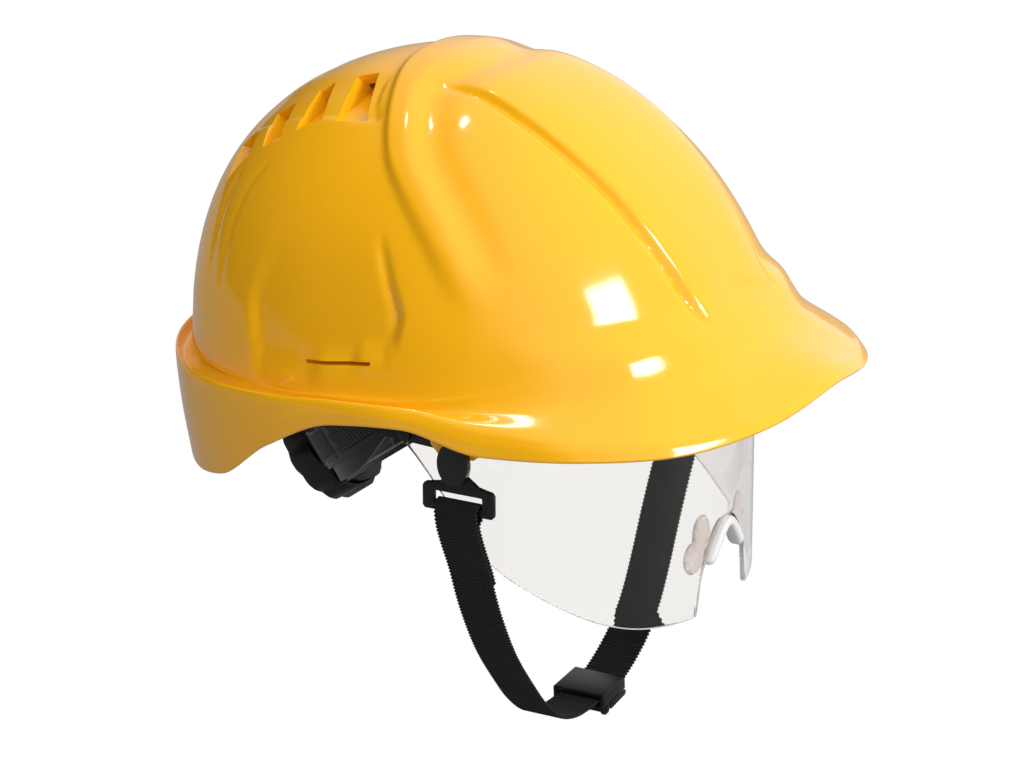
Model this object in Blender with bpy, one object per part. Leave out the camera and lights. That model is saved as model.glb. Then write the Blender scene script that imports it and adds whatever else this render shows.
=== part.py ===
"""Hard hat with a retractable clear visor, a ratchet headband, a textile cradle and a chin strap.

Frame: metres, +Z up, the front of the hat towards -Y, the wearer's left towards +X.
The origin is the middle of the underside of the crown pad, where the hat rests on a head.
The dimensions below are in mm, in a drawing frame whose origin is POLE_Y in front of the crown
axis. The last step moves every piece onto the crown axis.
Depths are measured down from the outer top of the shell.
Names that end in _R are on the wearer's right (-X), names that end in _L on the left (+X).
"""

import math

import bmesh
import bpy
import numpy as np
from mathutils import Matrix, Vector

for old in list(bpy.data.objects):
    bpy.data.objects.remove(old, do_unlink=True)

MM = 0.001
UP = Vector((0, 0, 1))
SIDES = ((-1, "R"), (1, "L"))

# ---------------------------------------------------------------- driving dimensions (mm)
CROWN_Z = 38.0          # outer top of the shell above the underside of the crown pad
POLE_Y = 16.0           # the crown axis sits this far behind the drawing origin
WALL = 2.6              # shell wall

LUG_Y, LUG_D = -33.0, 122.5             # axis of the chin strap swing
HINGE_Y, HINGE_D = 40.0, 126.5          # axis of the visor
BRACKET_SCREW_D = 112.5                 # the bracket screw is straight above the hinge
TEMPLE_Y, TEMPLE_D = 5.65, 117.2        # pin that joins headband, yoke and tails
SIDE_PEG_Y, SIDE_PEG_D = 14.2, 96.5     # peg of a side key, in the headband

# ---------------------------------------------------------------- materials


def new_material(name, color, roughness, metallic=0.0, transmission=0.0, alpha=1.0):
    mat = bpy.data.materials.new(name)
    mat.use_nodes = True
    shader = mat.node_tree.nodes["Principled BSDF"]
    shader.inputs["Base Color"].default_value = (*color, 1.0)
    shader.inputs["Roughness"].default_value = roughness
    shader.inputs["Metallic"].default_value = metallic
    shader.inputs["Transmission Weight"].default_value = transmission
    shader.inputs["Alpha"].default_value = alpha
    mat.diffuse_color = (*color, alpha)
    return mat


SHELL_ABS = new_material("shell_abs", color=(0.95, 0.55, 0.02), roughness=0.18)
CLEAR = new_material("clear_polycarbonate", color=(0.93, 0.95, 0.95), roughness=0.03,
                     transmission=1.0, alpha=0.35)
WHITE_TRIM = new_material("white_tpe", color=(0.86, 0.86, 0.88), roughness=0.45)
SOFT_CLEAR = new_material("soft_clear_tpe", color=(0.80, 0.76, 0.76), roughness=0.25,
                          transmission=0.6)
BLACK_PP = new_material("black_plastic", color=(0.015, 0.015, 0.017), roughness=0.42)
BLACK_GLOSS = new_material("black_gloss_plastic", color=(0.01, 0.01, 0.011), roughness=0.15)
GREY_PP = new_material("grey_plastic", color=(0.14, 0.14, 0.15), roughness=0.45)
WEBBING = new_material("black_webbing", color=(0.012, 0.012, 0.013), roughness=0.85)
CRADLE_TAPE = new_material("cradle_tape", color=(0.03, 0.03, 0.035), roughness=0.9)
FOAM = new_material("foam_cloth", color=(0.05, 0.05, 0.055), roughness=0.95)
STEEL = new_material("steel", color=(0.55, 0.56, 0.58), roughness=0.3, metallic=1.0)

# ---------------------------------------------------------------- frames and curves


def at_depth(depth):
    """Height (z) of a depth below the crown."""
    return CROWN_Z - depth


def smooth_step(x, start, end):
    t = min(1.0, max(0.0, (x - start) / (end - start)))
    return t * t * (3 - 2 * t)


def frame(origin, x_axis, z_axis):
    """A matrix in mm: local x along x_axis, local z along z_axis."""
    z = Vector(z_axis).normalized()
    x = Vector(x_axis)
    x = (x - z * x.dot(z)).normalized()
    y = z.cross(x)
    matrix = Matrix((x, y, z)).transposed().to_4x4()
    matrix.translation = Vector(origin)
    return matrix


def side_plane(side, y=0.0, z=0.0):
    """Local x = world y, local y = world z, local z = outwards on a side (-1 right, 1 left)."""
    turn = Matrix(((0, 0, side, 0), (1, 0, 0, 0), (0, 1, 0, 0), (0, 0, 0, 1)))
    return turn @ Matrix.Translation((y, z, 0))


# applied to a frame, puts an outline in its xz plane and extrudes it towards its -y
ON_EDGE = Matrix(((1, 0, 0, 0), (0, 0, -1, 0), (0, 1, 0, 0), (0, 0, 0, 1)))


def side_outline(points):
    """Turns (y, depth) points into an outline for side_plane."""
    return [(y, at_depth(depth)) for y, depth in points]


def circle(radius, count, x=0.0, y=0.0):
    angles = [2 * math.pi * i / count for i in range(count)]
    return [(x + radius * math.cos(a), y + radius * math.sin(a)) for a in angles]


def polar_outline(radii):
    """A closed outline with the given radii at equal angles."""
    angles = [2 * math.pi * i / len(radii) for i in range(len(radii))]
    return [(radius * math.cos(a), radius * math.sin(a)) for radius, a in zip(radii, angles)]


def tangent(points, i):
    return (points[min(i + 1, len(points) - 1)] - points[max(i - 1, 0)]).normalized()


def square_to(normal, along):
    """The normal with its part along a direction taken away."""
    return (normal - along * normal.dot(along)).normalized()


def catmull_rom(controls, per):
    """A Catmull-Rom curve through the control points, with `per` steps in each interval."""
    knots = [2 * controls[0] - controls[1]] + controls + [2 * controls[-1] - controls[-2]]
    out = []
    for i in range(1, len(knots) - 2):
        before, start, end, after = knots[i - 1:i + 3]
        for step in range(per):
            t = step / per
            out.append(0.5 * (2 * start + (end - before) * t
                              + (2 * before - 5 * start + 4 * end - after) * t * t
                              + (3 * start - before - 3 * end + after) * t ** 3))
    out.append(knots[-2])
    return out


# ---------------------------------------------------------------- mesh helpers


def shade_smooth(mesh, angle):
    """Smooth shading, with edges sharper than the angle (degrees) kept sharp."""
    for face in mesh.polygons:
        face.use_smooth = True
    mesh.set_sharp_from_angle(angle=math.radians(angle))


def solid(name, verts, faces, mat=None, smooth=None, origin=(0, 0, 0)):
    """A mesh object from points in mm. Its origin goes to the given point in mm."""
    mesh = bpy.data.meshes.new(name)
    origin = Vector(origin)
    mesh.from_pydata([(Vector(v) - origin) * MM for v in verts], [], faces)
    bm = bmesh.new()
    bm.from_mesh(mesh)
    bmesh.ops.remove_doubles(bm, verts=bm.verts, dist=1e-7)
    bmesh.ops.recalc_face_normals(bm, faces=bm.faces)
    if bm.calc_volume(signed=True) < 0:
        bmesh.ops.reverse_faces(bm, faces=bm.faces)
    bm.to_mesh(mesh)
    bm.free()
    if mat:
        mesh.materials.append(mat)
    obj = bpy.data.objects.new(name, mesh)
    obj.location = origin * MM
    bpy.context.scene.collection.objects.link(obj)
    if smooth is not None:
        shade_smooth(mesh, smooth)
    return obj


def combine(target, tools, operation, smooth=None):
    """Applies each tool to the target with the exact solver and removes the tool."""
    for tool in tools:
        mod = target.modifiers.new(operation.lower(), "BOOLEAN")
        mod.operation = operation
        mod.solver = "EXACT"
        mod.object = tool
    bpy.context.view_layer.update()
    graph = bpy.context.evaluated_depsgraph_get()
    made = bpy.data.meshes.new_from_object(target.evaluated_get(graph))
    target.modifiers.clear()
    mat = target.data.materials[0]
    target.data = made
    made.materials.clear()
    made.materials.append(mat)
    for face in made.polygons:
        face.material_index = 0
    for tool in tools:
        bpy.data.objects.remove(tool, do_unlink=True)
    if smooth is not None:
        shade_smooth(made, smooth)


def unite(target, tools, smooth=None):
    combine(target, tools, "UNION", smooth)


def cut(target, tools, smooth=None):
    combine(target, tools, "DIFFERENCE", smooth)


def swept(name, sections, mat=None, smooth=None, origin=(0, 0, 0)):
    """Joins equal closed sections (3D points) one after the other and caps both ends."""
    count = len(sections[0])
    last = count * (len(sections) - 1)
    verts = [point for section in sections for point in section]
    faces = [list(range(count))[::-1], list(range(last, last + count))]
    for start in range(0, last, count):
        for k in range(count):
            after = (k + 1) % count
            faces.append([start + k, start + after, start + count + after, start + count + k])
    return solid(name, verts, faces, mat, smooth, origin)


def prism(name, outline, span, place, mat=None, smooth=None, origin=(0, 0, 0)):
    """Extrudes a closed 2D outline over a span of local z in the frame `place`."""
    sections = [[place @ Vector((x, y, z)) for x, y in outline] for z in span]
    return swept(name, sections, mat, smooth, origin)


def box(name, low, high, place, mat=None, origin=(0, 0, 0)):
    outline = [(low[0], low[1]), (high[0], low[1]), (high[0], high[1]), (low[0], high[1])]
    return prism(name, outline, (low[2], high[2]), place, mat, None, origin)


def side_disc(side, y, depth, radius, count, span):
    """A disc whose axis runs sideways, used as a tool."""
    return prism("disc", circle(radius, count, y, at_depth(depth)), span, side_plane(side))


def cylinder(name, start, end, radius, count, mat=None, origin=(0, 0, 0)):
    direction = (end - start).normalized()
    x_axis = UP if abs(direction.z) < 0.9 else Vector((1, 0, 0))
    place = frame(start, x_axis, direction)
    return prism(name, circle(radius, count), (0, (end - start).length), place, mat, 40, origin)


def turned(name, profile, count, place, mat=None, smooth=40, origin=(0, 0, 0)):
    """Revolves a closed (radius, height) profile about local z. Radius 0 is on the axis."""
    verts, rings = [], []
    for radius, height in profile:
        start = len(verts)
        if radius < 1e-6:
            verts.append(place @ Vector((0, 0, height)))
        else:
            verts += [place @ Vector((x, y, height)) for x, y in circle(radius, count)]
        rings.append(list(range(start, len(verts))))
    faces = []
    for ring, after in zip(rings, rings[1:] + rings[:1]):
        if len(ring) == 1 and len(after) == 1:
            continue
        for i in range(count):
            j = (i + 1) % count
            if len(ring) == 1:
                faces.append([ring[0], after[j], after[i]])
            elif len(after) == 1:
                faces.append([ring[i], ring[j], after[0]])
            else:
                faces.append([ring[i], ring[j], after[j], after[i]])
    return solid(name, verts, faces, mat, smooth, origin)


def headed_pin(name, shank_radius, near, far, count, place, mat, origin=(0, 0, 0)):
    """A pin with a head at each end. A head is (radius, start, end) along local z."""
    profile = [(0, near[1]), (near[0], near[1]), (near[0], near[2]), (shank_radius, near[2]),
               (shank_radius, far[1]), (far[0], far[1]), (far[0], far[2]), (0, far[2])]
    turned(name, profile, count, place, mat, 40, origin)


def ribbon(name, path, normals, width, thick, mat, origin=(0, 0, 0)):
    """A tape of rectangular section along a path. The normals point through its thickness."""
    sections = []
    for i, point in enumerate(path):
        along = tangent(path, i)
        normal = square_to(normals[i], along)
        across = along.cross(normal)
        # the thickness is kept through a bend
        stretch = 1.0
        if 0 < i < len(path) - 1:
            before = (point - path[i - 1]).normalized()
            after = (path[i + 1] - point).normalized()
            stretch /= max(0.5, math.sqrt(max(0.05, (1 + before.dot(after)) / 2)))
        half_width, half_thick = width / 2, thick / 2 * stretch
        sections.append([point + across * (a * half_width) + normal * (b * half_thick)
                         for a, b in ((-1, -1), (1, -1), (1, 1), (-1, 1))])
    return swept(name, sections, mat, 50, origin)


def half_turn(centre, start, through, radius):
    """Points and normals of half a turn round a bar, from `start` by way of `through`."""
    normals = [start * math.cos(a) + through * math.sin(a)
               for a in [math.radians(deg) for deg in (0, 36, 72, 108, 144, 180)]]
    return [centre + normal * radius for normal in normals], normals


def face_one_way(normals):
    """Flips normals where needed, so that one face of a tape stays the same face."""
    fixed = [normals[0]]
    for normal in normals[1:]:
        fixed.append(-normal if normal.dot(fixed[-1]) < 0 else normal)
    return fixed


def upright_wall(inner, outer, low, high):
    """Section of an upright wall between two plan points, from height low to height high."""
    return [inner + UP * low, outer + UP * low, outer + UP * high, inner + UP * high]


# ---------------------------------------------------------------- the shell surface
DOME_FRONT = 126.0      # plan half lengths of the dome from its crown
DOME_REAR = 112.0
DOME_SIDE = 106.0
DOME_PLAN_EXP = 2.25
DOME_HEIGHT = (121.2, 126.0, 121.7)      # front, side, rear
DOME_CROWN_EXP = (2.09, 2.20, 2.12)      # front, side, rear
DOME_WALL_EXP = (0.67, 0.50, 0.343)      # front, side, rear
# share of the way from the crown to the foot of the dome, for each ring of points
DOME_FRACTIONS = (0.12, 0.25, 0.38, 0.50, 0.61, 0.71, 0.80, 0.88, 0.95, 1.0)
SHELL_COLUMNS = 72

# rim sections at these azimuths from the front (degrees):
# _r is a radius from the crown axis, _d a depth below the crown
STATIONS = (0, 15, 30, 45, 60, 75, 90, 105, 120, 135, 150, 165, 180)
RIM = {
    "dome_foot_d": (78, 80, 85, 93, 101, 106, 108, 111, 112, 113, 114, 114, 114),
    "brow_r": (120, 121, 121, 117, 112, 108.5, 107.5, 108, 110, 112, 113, 114, 114),
    "brow_d": (86, 87, 90, 97, 104, 108.5, 110.5, 113, 114, 115, 116, 116, 116),
    "gutter_r": (127, 128, 127, 121, 114, 109.5, 108.5, 110, 113, 116, 117, 117, 117),
    "gutter_d": (96, 97, 100, 105, 109, 112, 113.5, 116, 119, 121, 122, 122, 122),
    "lip_r": (149, 149, 146, 135, 122, 114, 113, 116, 119, 120.5, 120.5, 119.5, 119),
    "lip_d": (105, 110, 113, 113.5, 112.5, 109, 110, 113, 116, 118, 118, 118, 118),
    "edge_r": (158, 157, 153, 141, 126, 117, 114.5, 116, 117, 116, 115, 114, 113),
    "edge_d": (110.5, 115.8, 120, 121.5, 122.7, 116.3, 119, 133, 153, 159, 160, 160, 160),
}
LIP_BULGE = (0.9, -0.4)         # of the point halfway between lip and edge (radius, depth)
PEAK_EDGE = (-2.7, 0.2)         # inner edge from the outer edge, under the peak
WALL_EDGE = (-2.6, 0.2)         # the same round the sides and rear
PEAK_END = (55, 74)             # azimuths between which the peak fades into the side wall


def rim(key, azimuth):
    """A rim dimension at an azimuth (degrees), by a monotone cubic through the stations."""
    xs, ys = STATIONS, RIM[key]
    x = abs(azimuth)
    steps = [b - a for a, b in zip(xs, xs[1:])]
    rises = [(b - a) / step for a, b, step in zip(ys, ys[1:], steps)]
    slopes = [0.0] * len(xs)
    for i in range(1, len(xs) - 1):
        if rises[i - 1] * rises[i] > 0:
            before = 2 * steps[i] + steps[i - 1]
            after = steps[i] + 2 * steps[i - 1]
            slopes[i] = (before + after) / (before / rises[i - 1] + after / rises[i])
    i = min(len(xs) - 2, sum(1 for value in xs[1:] if value <= x))
    step = steps[i]
    t = (x - xs[i]) / step
    return ((1 + 2 * t) * (1 - t) ** 2 * ys[i] + t * (1 - t) ** 2 * step * slopes[i]
            + t * t * (3 - 2 * t) * ys[i + 1] + t * t * (t - 1) * step * slopes[i + 1])


# phi is an azimuth from the front in radians, positive towards the wearer's right


def by_azimuth(phi, values):
    front, side, rear = values
    c = math.cos(phi)
    return side + ((front if c > 0 else rear) - side) * c * c


def plan_radius(phi):
    along, across = abs(math.cos(phi)), abs(math.sin(phi))
    length = DOME_FRONT if math.cos(phi) > 0 else DOME_REAR
    total = (along / length) ** DOME_PLAN_EXP + (across / DOME_SIDE) ** DOME_PLAN_EXP
    return total ** (-1 / DOME_PLAN_EXP)


def dome_depth(phi, rho):
    """Depth of the dome at a fraction rho of its plan radius."""
    drop = max(0.0, 1 - rho ** by_azimuth(phi, DOME_CROWN_EXP))
    return by_azimuth(phi, DOME_HEIGHT) * (1 - drop ** by_azimuth(phi, DOME_WALL_EXP))


def dome_rho(phi, depth):
    """The inverse of dome_depth."""
    left = max(0.0, 1 - depth / by_azimuth(phi, DOME_HEIGHT))
    return (1 - left ** (1 / by_azimuth(phi, DOME_WALL_EXP))) ** (1 / by_azimuth(phi, DOME_CROWN_EXP))


def dome_inner_radius(phi, depth):
    """The radius of the inside of the dome at a depth (approximately)."""
    here = plan_radius(phi) * dome_rho(phi, depth)
    slope = plan_radius(phi) * dome_rho(phi, depth + 1) - here
    return here - WALL * math.sqrt(1 + slope * slope)


def shell_point(phi, radius, depth):
    """Point for an azimuth, a radius from the crown axis and a depth below the crown."""
    return Vector((-radius * math.sin(phi), POLE_Y - radius * math.cos(phi), at_depth(depth)))


def dome_point(x, y):
    """The point of the dome's outer surface at a plan position."""
    phi = math.atan2(-x, -(y - POLE_Y))
    radius = math.hypot(x, y - POLE_Y)
    return shell_point(phi, radius, dome_depth(phi, radius / plan_radius(phi)))


def offset_line(points, dist):
    """A (radius, depth) line that runs outwards and down, moved towards its inner side."""
    out = []
    for i, (radius, depth) in enumerate(points):
        before = points[max(0, i - 1)]
        after = points[min(len(points) - 1, i + 1)]
        run, drop = after[0] - before[0], after[1] - before[1]
        length = math.hypot(run, drop)
        out.append((radius - dist * drop / length, depth + dist * run / length))
    return out


def section(azimuth):
    """Outer and inner lines of the shell at an azimuth (degrees), from the crown to the edge."""
    phi = math.radians(azimuth)
    rho_foot = dome_rho(phi, rim("dome_foot_d", azimuth))
    dome = [(plan_radius(phi) * f * rho_foot, dome_depth(phi, f * rho_foot))
            for f in DOME_FRACTIONS]
    brow, gutter, lip, edge = [(rim(part + "_r", azimuth), rim(part + "_d", azimuth))
                               for part in ("brow", "gutter", "lip", "edge")]
    middle = ((lip[0] + edge[0]) / 2 + LIP_BULGE[0], (lip[1] + edge[1]) / 2 + LIP_BULGE[1])
    rim_line = [brow, gutter, lip, middle, edge]
    inner_dome = offset_line([(0.0, 0.0)] + dome, WALL)[1:]

    # at the front the inside follows the peak
    peak = offset_line(dome[-2:] + rim_line, WALL)[2:6]
    peak.append((edge[0] + PEAK_EDGE[0], edge[1] + PEAK_EDGE[1]))
    # at the sides and rear it runs straight down inside the gutter
    turn = (min(lip[0], gutter[0] + 5.0) - 2.8, gutter[1] + 3.1)
    foot = (edge[0] + WALL_EDGE[0], edge[1] + WALL_EDGE[1])
    wall = [(brow[0] - 2.5, brow[1] + 1.5), (gutter[0] - 1.2, gutter[1] + 2.7), turn,
            ((turn[0] + foot[0]) / 2, (turn[1] + foot[1]) / 2), foot]
    k = smooth_step(abs(azimuth), *PEAK_END)
    inner_rim = [(a[0] * (1 - k) + b[0] * k, a[1] * (1 - k) + b[1] * k)
                 for a, b in zip(peak, wall)]
    return dome + rim_line, inner_dome[::2] + [inner_dome[-1]] + inner_rim


def shell_skin():
    verts = [(0.0, POLE_Y, CROWN_Z)]
    columns = []
    for i in range(SHELL_COLUMNS):
        azimuth = -180 + 360 * i / SHELL_COLUMNS
        outer, inner = section(azimuth)
        line = outer + inner[::-1]
        columns.append(list(range(len(verts), len(verts) + len(line))))
        verts += [shell_point(math.radians(azimuth), radius, depth) for radius, depth in line]
    bottom = len(verts)
    verts.append((0.0, POLE_Y, CROWN_Z - WALL))
    faces = []
    for a, b in zip(columns, columns[1:] + columns[:1]):
        faces.append([0, a[0], b[0]])
        for k in range(len(a) - 1):
            faces.append([a[k], a[k + 1], b[k + 1], b[k]])
        faces.append([bottom, b[-1], a[-1]])
    return solid("shell", verts, faces, SHELL_ABS, 38)


# ---------------------------------------------------------------- the shell's sockets and holes
# azimuth (degrees) and depth of each socket for a suspension key
SOCKETS = {"side_R": (95.5, 74.0), "side_L": (-95.5, 74.0),
           "rear_R": (152.0, 82.0), "rear_L": (-152.0, 82.0)}
LUG_X = (100.6, 103.2)
LUG_TOP_D = 111.8
LUG_HALF = 11.0
LUG_HOLE_R = 2.6
VENTS = ((43.0, 45.0), (45.0, 62.5), (47.0, 79.0), (49.0, 93.5))   # x, y on the left side
VENT_LONG, VENT_WIDE, VENT_SLANT = 24.0, 7.0, 16.0
SLOT_Y, SLOT_D = 19.0, 97.0                     # accessory slot
SLOT_LONG, SLOT_HIGH, SLOT_TILT = 30.0, 2.8, 19.5


def socket_radius(key, below=0.0):
    """Inner radius of the dome at a socket, some way below its middle."""
    azimuth, depth = SOCKETS[key]
    return dome_inner_radius(math.radians(azimuth), depth + below)


def socket_frame(key):
    """On the inside of the dome: local x outwards, local z up.

    Local y runs sideways, towards the rear on the left and towards the front on the right.
    """
    azimuth, depth = SOCKETS[key]
    phi = math.radians(azimuth)
    before, after = [shell_point(p, dome_inner_radius(p, depth), depth)
                     for p in (phi - 0.03, phi + 0.03)]
    along = after - before
    return frame(shell_point(phi, socket_radius(key), depth), (-along.y, along.x, 0), UP)


def socket_block(key):
    top = socket_radius(key, -7.5) - socket_radius(key)
    foot = socket_radius(key, 8.0) - socket_radius(key)
    # (outwards, up) in the radial plane
    outline = [(-4.6, -8.0), (foot + 1.2, -8.0), (1.2, 0.0), (top + 1.2, 7.5),
               (min(-3.0, top - 0.4), 7.5), (-4.6, 5.5)]
    return prism("socket", outline, (-9.0, 9.0), socket_frame(key) @ ON_EDGE)


def lug(side):
    """Tab that the chin strap swings on."""
    outline = [(LUG_Y - LUG_HALF, LUG_TOP_D), (LUG_Y - LUG_HALF, LUG_D + 2.5),
               (LUG_Y - 7.5, LUG_D + 5.2), (LUG_Y + 7.5, LUG_D + 5.2),
               (LUG_Y + LUG_HALF, LUG_D + 1.5), (LUG_Y + LUG_HALF, LUG_TOP_D)]
    return prism("lug", side_outline(outline), LUG_X, side_plane(side))


def accessory_slot(side):
    place = (side_plane(side, SLOT_Y, at_depth(SLOT_D))
             @ Matrix.Rotation(math.radians(-SLOT_TILT), 4, "Z"))
    half, half_high = SLOT_LONG / 2, SLOT_HIGH / 2
    return box("slot", (-half, -half_high, 92), (half, half_high, 112), place)


def vent(side, x, y):
    x *= side
    x_run = dome_point(x + 1, y) - dome_point(x - 1, y)
    y_run = dome_point(x, y + 1) - dome_point(x, y - 1)
    slant = math.radians(VENT_SLANT)
    long_way = Vector((side * math.cos(slant), -math.sin(slant), 0))
    place = frame(dome_point(x, y), long_way, x_run.cross(y_run))
    half, half_wide = VENT_LONG / 2, VENT_WIDE / 2
    return box("vent", (-half, -half_wide, -8), (half, half_wide, 6), place)


def build_shell():
    shell = shell_skin()
    added = [socket_block(key) for key in SOCKETS]
    cuts = [box("pocket", (-2.7, -7.4, -9), (-0.5, 7.4, 5), socket_frame(key))
            for key in SOCKETS]
    for side, _ in SIDES:
        added.append(lug(side))
        cuts.append(side_disc(side, LUG_Y, LUG_D, LUG_HOLE_R, 16, (98, 105.5)))
        # boss for the visor bracket screw
        added.append(side_disc(side, HINGE_Y, BRACKET_SCREW_D, 4.5, 14, (99.6, 103.5)))
        cuts.append(side_disc(side, HINGE_Y, BRACKET_SCREW_D, 1.45, 10, (97.0, 102.9)))
        cuts.append(accessory_slot(side))
        cuts += [vent(side, x, y) for x, y in VENTS]
    unite(shell, added)
    cut(shell, cuts, 38)


build_shell()

# ---------------------------------------------------------------- visor
LENS_Y, LENS_AX, LENS_AY, LENS_EXP = -10.0, 86.0, 86.0, 2.2    # plan curve of the outer face
LENS_T = 1.8
LENS_TOP_D = 125.0
LENS_BACK = 14.5                # straight part behind the curve
LENS_CURVE_END = 0.88           # plan parameter where the curve ends and the straight starts
# plan parameters of the right half, from the rear to just short of the middle
LENS_STATIONS = [-1, -0.96, -0.92, -0.88, -0.80, -0.70, -0.60, -0.50, -0.40, -0.32, -0.25,
                 -0.205, -0.18, -0.155, -0.135, -0.115, -0.095, -0.075, -0.057, -0.041,
                 -0.027, -0.014]
# y and depth of the lower edge, from the front to the rear
LENS_FOOT = ((-97, 209.5), (-93.5, 209.5), (-83.5, 207.0), (-73, 202.0), (-61, 194.5),
             (-51, 188.0), (-40, 180.5), (-32.5, 172.5), (-18, 153.0), (-5.5, 138.0),
             (4.5, 129.0), (6, 127.0))
NOTCH_TOP_D, NOTCH_HIGH, NOTCH_EXP = 173.5, 26.0, 2.4
RIVET_YS, RIVET_D = (-11.5, -2.5), 127.8
RIVET_HOLE_R = 1.9
HINGE_HOLE_R = 2.8
ARM_X = (86.5, 89.0)
ARM_BOSS_R = 5.8
BRACKET_X = (96.4, 99.2)
BRACKET_HALF, BRACKET_TOP_D, BRACKET_FOOT_D = 6.5, 107.5, 130.5
HINGE = Vector((0, HINGE_Y, at_depth(HINGE_D)))


def lens_plan(t, grow=0.0):
    """t runs from -1 (rear of the right side) over 0 (front) to 1 (rear of the left side)."""
    side = 1 if t >= 0 else -1
    ax, ay = LENS_AX + grow, LENS_AY + grow
    if abs(t) > LENS_CURVE_END:
        back = (abs(t) - LENS_CURVE_END) / (1 - LENS_CURVE_END) * LENS_BACK
        return Vector((side * ax, LENS_Y + back, 0))
    angle = abs(t) / LENS_CURVE_END * math.pi / 2
    power = 2 / LENS_EXP
    return Vector((side * ax * math.sin(angle) ** power,
                   LENS_Y - ay * max(0.0, math.cos(angle)) ** power, 0))


def lens_front_y(x):
    """y of the outer face of the lens at an x."""
    return LENS_Y - LENS_AY * (1 - (abs(x) / LENS_AX) ** LENS_EXP) ** (1 / LENS_EXP)


def notch_depth(x):
    """Depth of the edge of the nose notch. Beyond the notch there is no limit."""
    u = abs(x) / (13.5 + 7.0 * smooth_step(abs(x), 0, 20))
    return NOTCH_TOP_D + NOTCH_HIGH * u ** NOTCH_EXP if u < 1 else math.inf


def lens_foot_z(point):
    side_depth = np.interp(point.y, *zip(*LENS_FOOT))
    return at_depth(min(side_depth, notch_depth(point.x)))


def build_lens():
    stations = LENS_STATIONS + [0] + [-t for t in LENS_STATIONS[::-1]]
    sections = [upright_wall(lens_plan(t, -LENS_T), lens_plan(t), lens_foot_z(lens_plan(t)),
                             at_depth(LENS_TOP_D)) for t in stations]
    lens = swept("visor_lens", sections, CLEAR, 40, HINGE)
    cut(lens, [side_disc(side, y, RIVET_D, RIVET_HOLE_R, 12, (80, 90))
               for side, _ in SIDES for y in RIVET_YS], 40)


def build_visor_arm(side, letter):
    """Boss round the hinge, tapering forward along the top edge of the lens."""
    boss = [(HINGE_Y + ARM_BOSS_R * math.cos(a), HINGE.z + ARM_BOSS_R * math.sin(a))
            for a in np.linspace(math.radians(-100), math.radians(100), 11)]
    blade = side_outline([(20.0, 122.8), (-20.0, 123.4), (-22.0, 127.0), (-18.0, 131.6),
                          (20.0, 129.6)])
    arm = prism(f"visor_arm_{letter}", boss + blade, ARM_X, side_plane(side), BLACK_PP, 40,
                HINGE)
    holes = [side_disc(side, HINGE_Y, HINGE_D, HINGE_HOLE_R, 16, (80, 95))]
    holes += [side_disc(side, y, RIVET_D, RIVET_HOLE_R, 12, (80, 95)) for y in RIVET_YS]
    cut(arm, holes, 40)
    for i, y in enumerate(RIVET_YS):
        headed_pin(f"lens_rivet_{letter}{i + 1}", 1.6, (2.7, 82.7, 83.6), (2.7, 89.3, 90.1),
                   12, side_plane(side, y, at_depth(RIVET_D)), BLACK_PP, HINGE)


def build_visor_bracket(side, letter):
    """Bracket on the shell wall, with the hinge pin and the screw that holds it."""
    front, rear = HINGE_Y - BRACKET_HALF, HINGE_Y + BRACKET_HALF
    outline = [(front, 118.6), (front, BRACKET_FOOT_D), (rear, BRACKET_FOOT_D),
               (rear, 118.6), (rear, BRACKET_TOP_D), (front, BRACKET_TOP_D)]
    bracket = prism(f"visor_bracket_{letter}", side_outline(outline), BRACKET_X,
                    side_plane(side), BLACK_PP)
    unite(bracket, [side_disc(side, HINGE_Y, HINGE_D, 5.4, 18, (89.4, 97.5))])
    cut(bracket, [side_disc(side, HINGE_Y, HINGE_D, HINGE_HOLE_R, 16, (88, 102)),
                  side_disc(side, HINGE_Y, BRACKET_SCREW_D, 1.8, 12, (88, 102))], 40)
    headed_pin(f"visor_pin_{letter}", 2.5, (4.4, 84.9, 86.1), (4.0, 99.5, 100.5), 16,
               side_plane(side, HINGE_Y, HINGE.z), STEEL)
    screw = [(0, 94.4), (2.9, 94.4), (2.9, 96.1), (1.2, 96.1), (1.2, 102.6), (0, 102.6)]
    turned(f"bracket_screw_{letter}", screw, 12,
           side_plane(side, HINGE_Y, at_depth(BRACKET_SCREW_D)), STEEL)


TRIM_HALF, TRIM_W, TRIM_T = 15.6, 6.0, 2.4
TRIM_DROP = 1.9                 # middle of the trim below the notch edge
PAD_X, PAD_D = 18.5, 181.0
PAD_GAP = 1.6                   # pad centre behind the inner face of the lens
PAD_TURN = 0.18                 # slope of the pad in plan
PAD_HALF_HIGH = 11.5


def build_nose_trim():
    """Soft trim along the lower side of the notch edge."""
    edge = [Vector((x, lens_front_y(x) + LENS_T / 2, at_depth(notch_depth(x))))
            for x in np.linspace(-TRIM_HALF, TRIM_HALF, 15)]
    normals = []
    for i in range(len(edge)):
        along = tangent(edge, i)
        normals.append(Vector((along.z, 0, -along.x)).normalized())
    path = [point + normal * TRIM_DROP for point, normal in zip(edge, normals)]
    ribbon("nose_trim", path, normals, TRIM_W, TRIM_T, WHITE_TRIM, HINGE)


def build_nose_pad(side, letter):
    """A slanting egg-shaped pad behind the lens, wider at the top."""
    x = side * PAD_X
    centre = (x, lens_front_y(x) + LENS_T + PAD_GAP, at_depth(PAD_D))
    place = frame(centre, (1, PAD_TURN * side, 0), (PAD_TURN * side, -1, 0))
    outline = []
    for c, s in circle(1.0, 20):
        outline.append(((5.2 + 1.2 * s) * c - side * 1.8 * s, PAD_HALF_HIGH * s))
    prism(f"nose_pad_{letter}", outline, (-0.2, 1.2), place, SOFT_CLEAR, 60, HINGE)


build_lens()
for side, letter in SIDES:
    build_visor_arm(side, letter)
    build_visor_bracket(side, letter)
build_nose_trim()
for side, letter in SIDES:
    build_nose_pad(side, letter)

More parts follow.
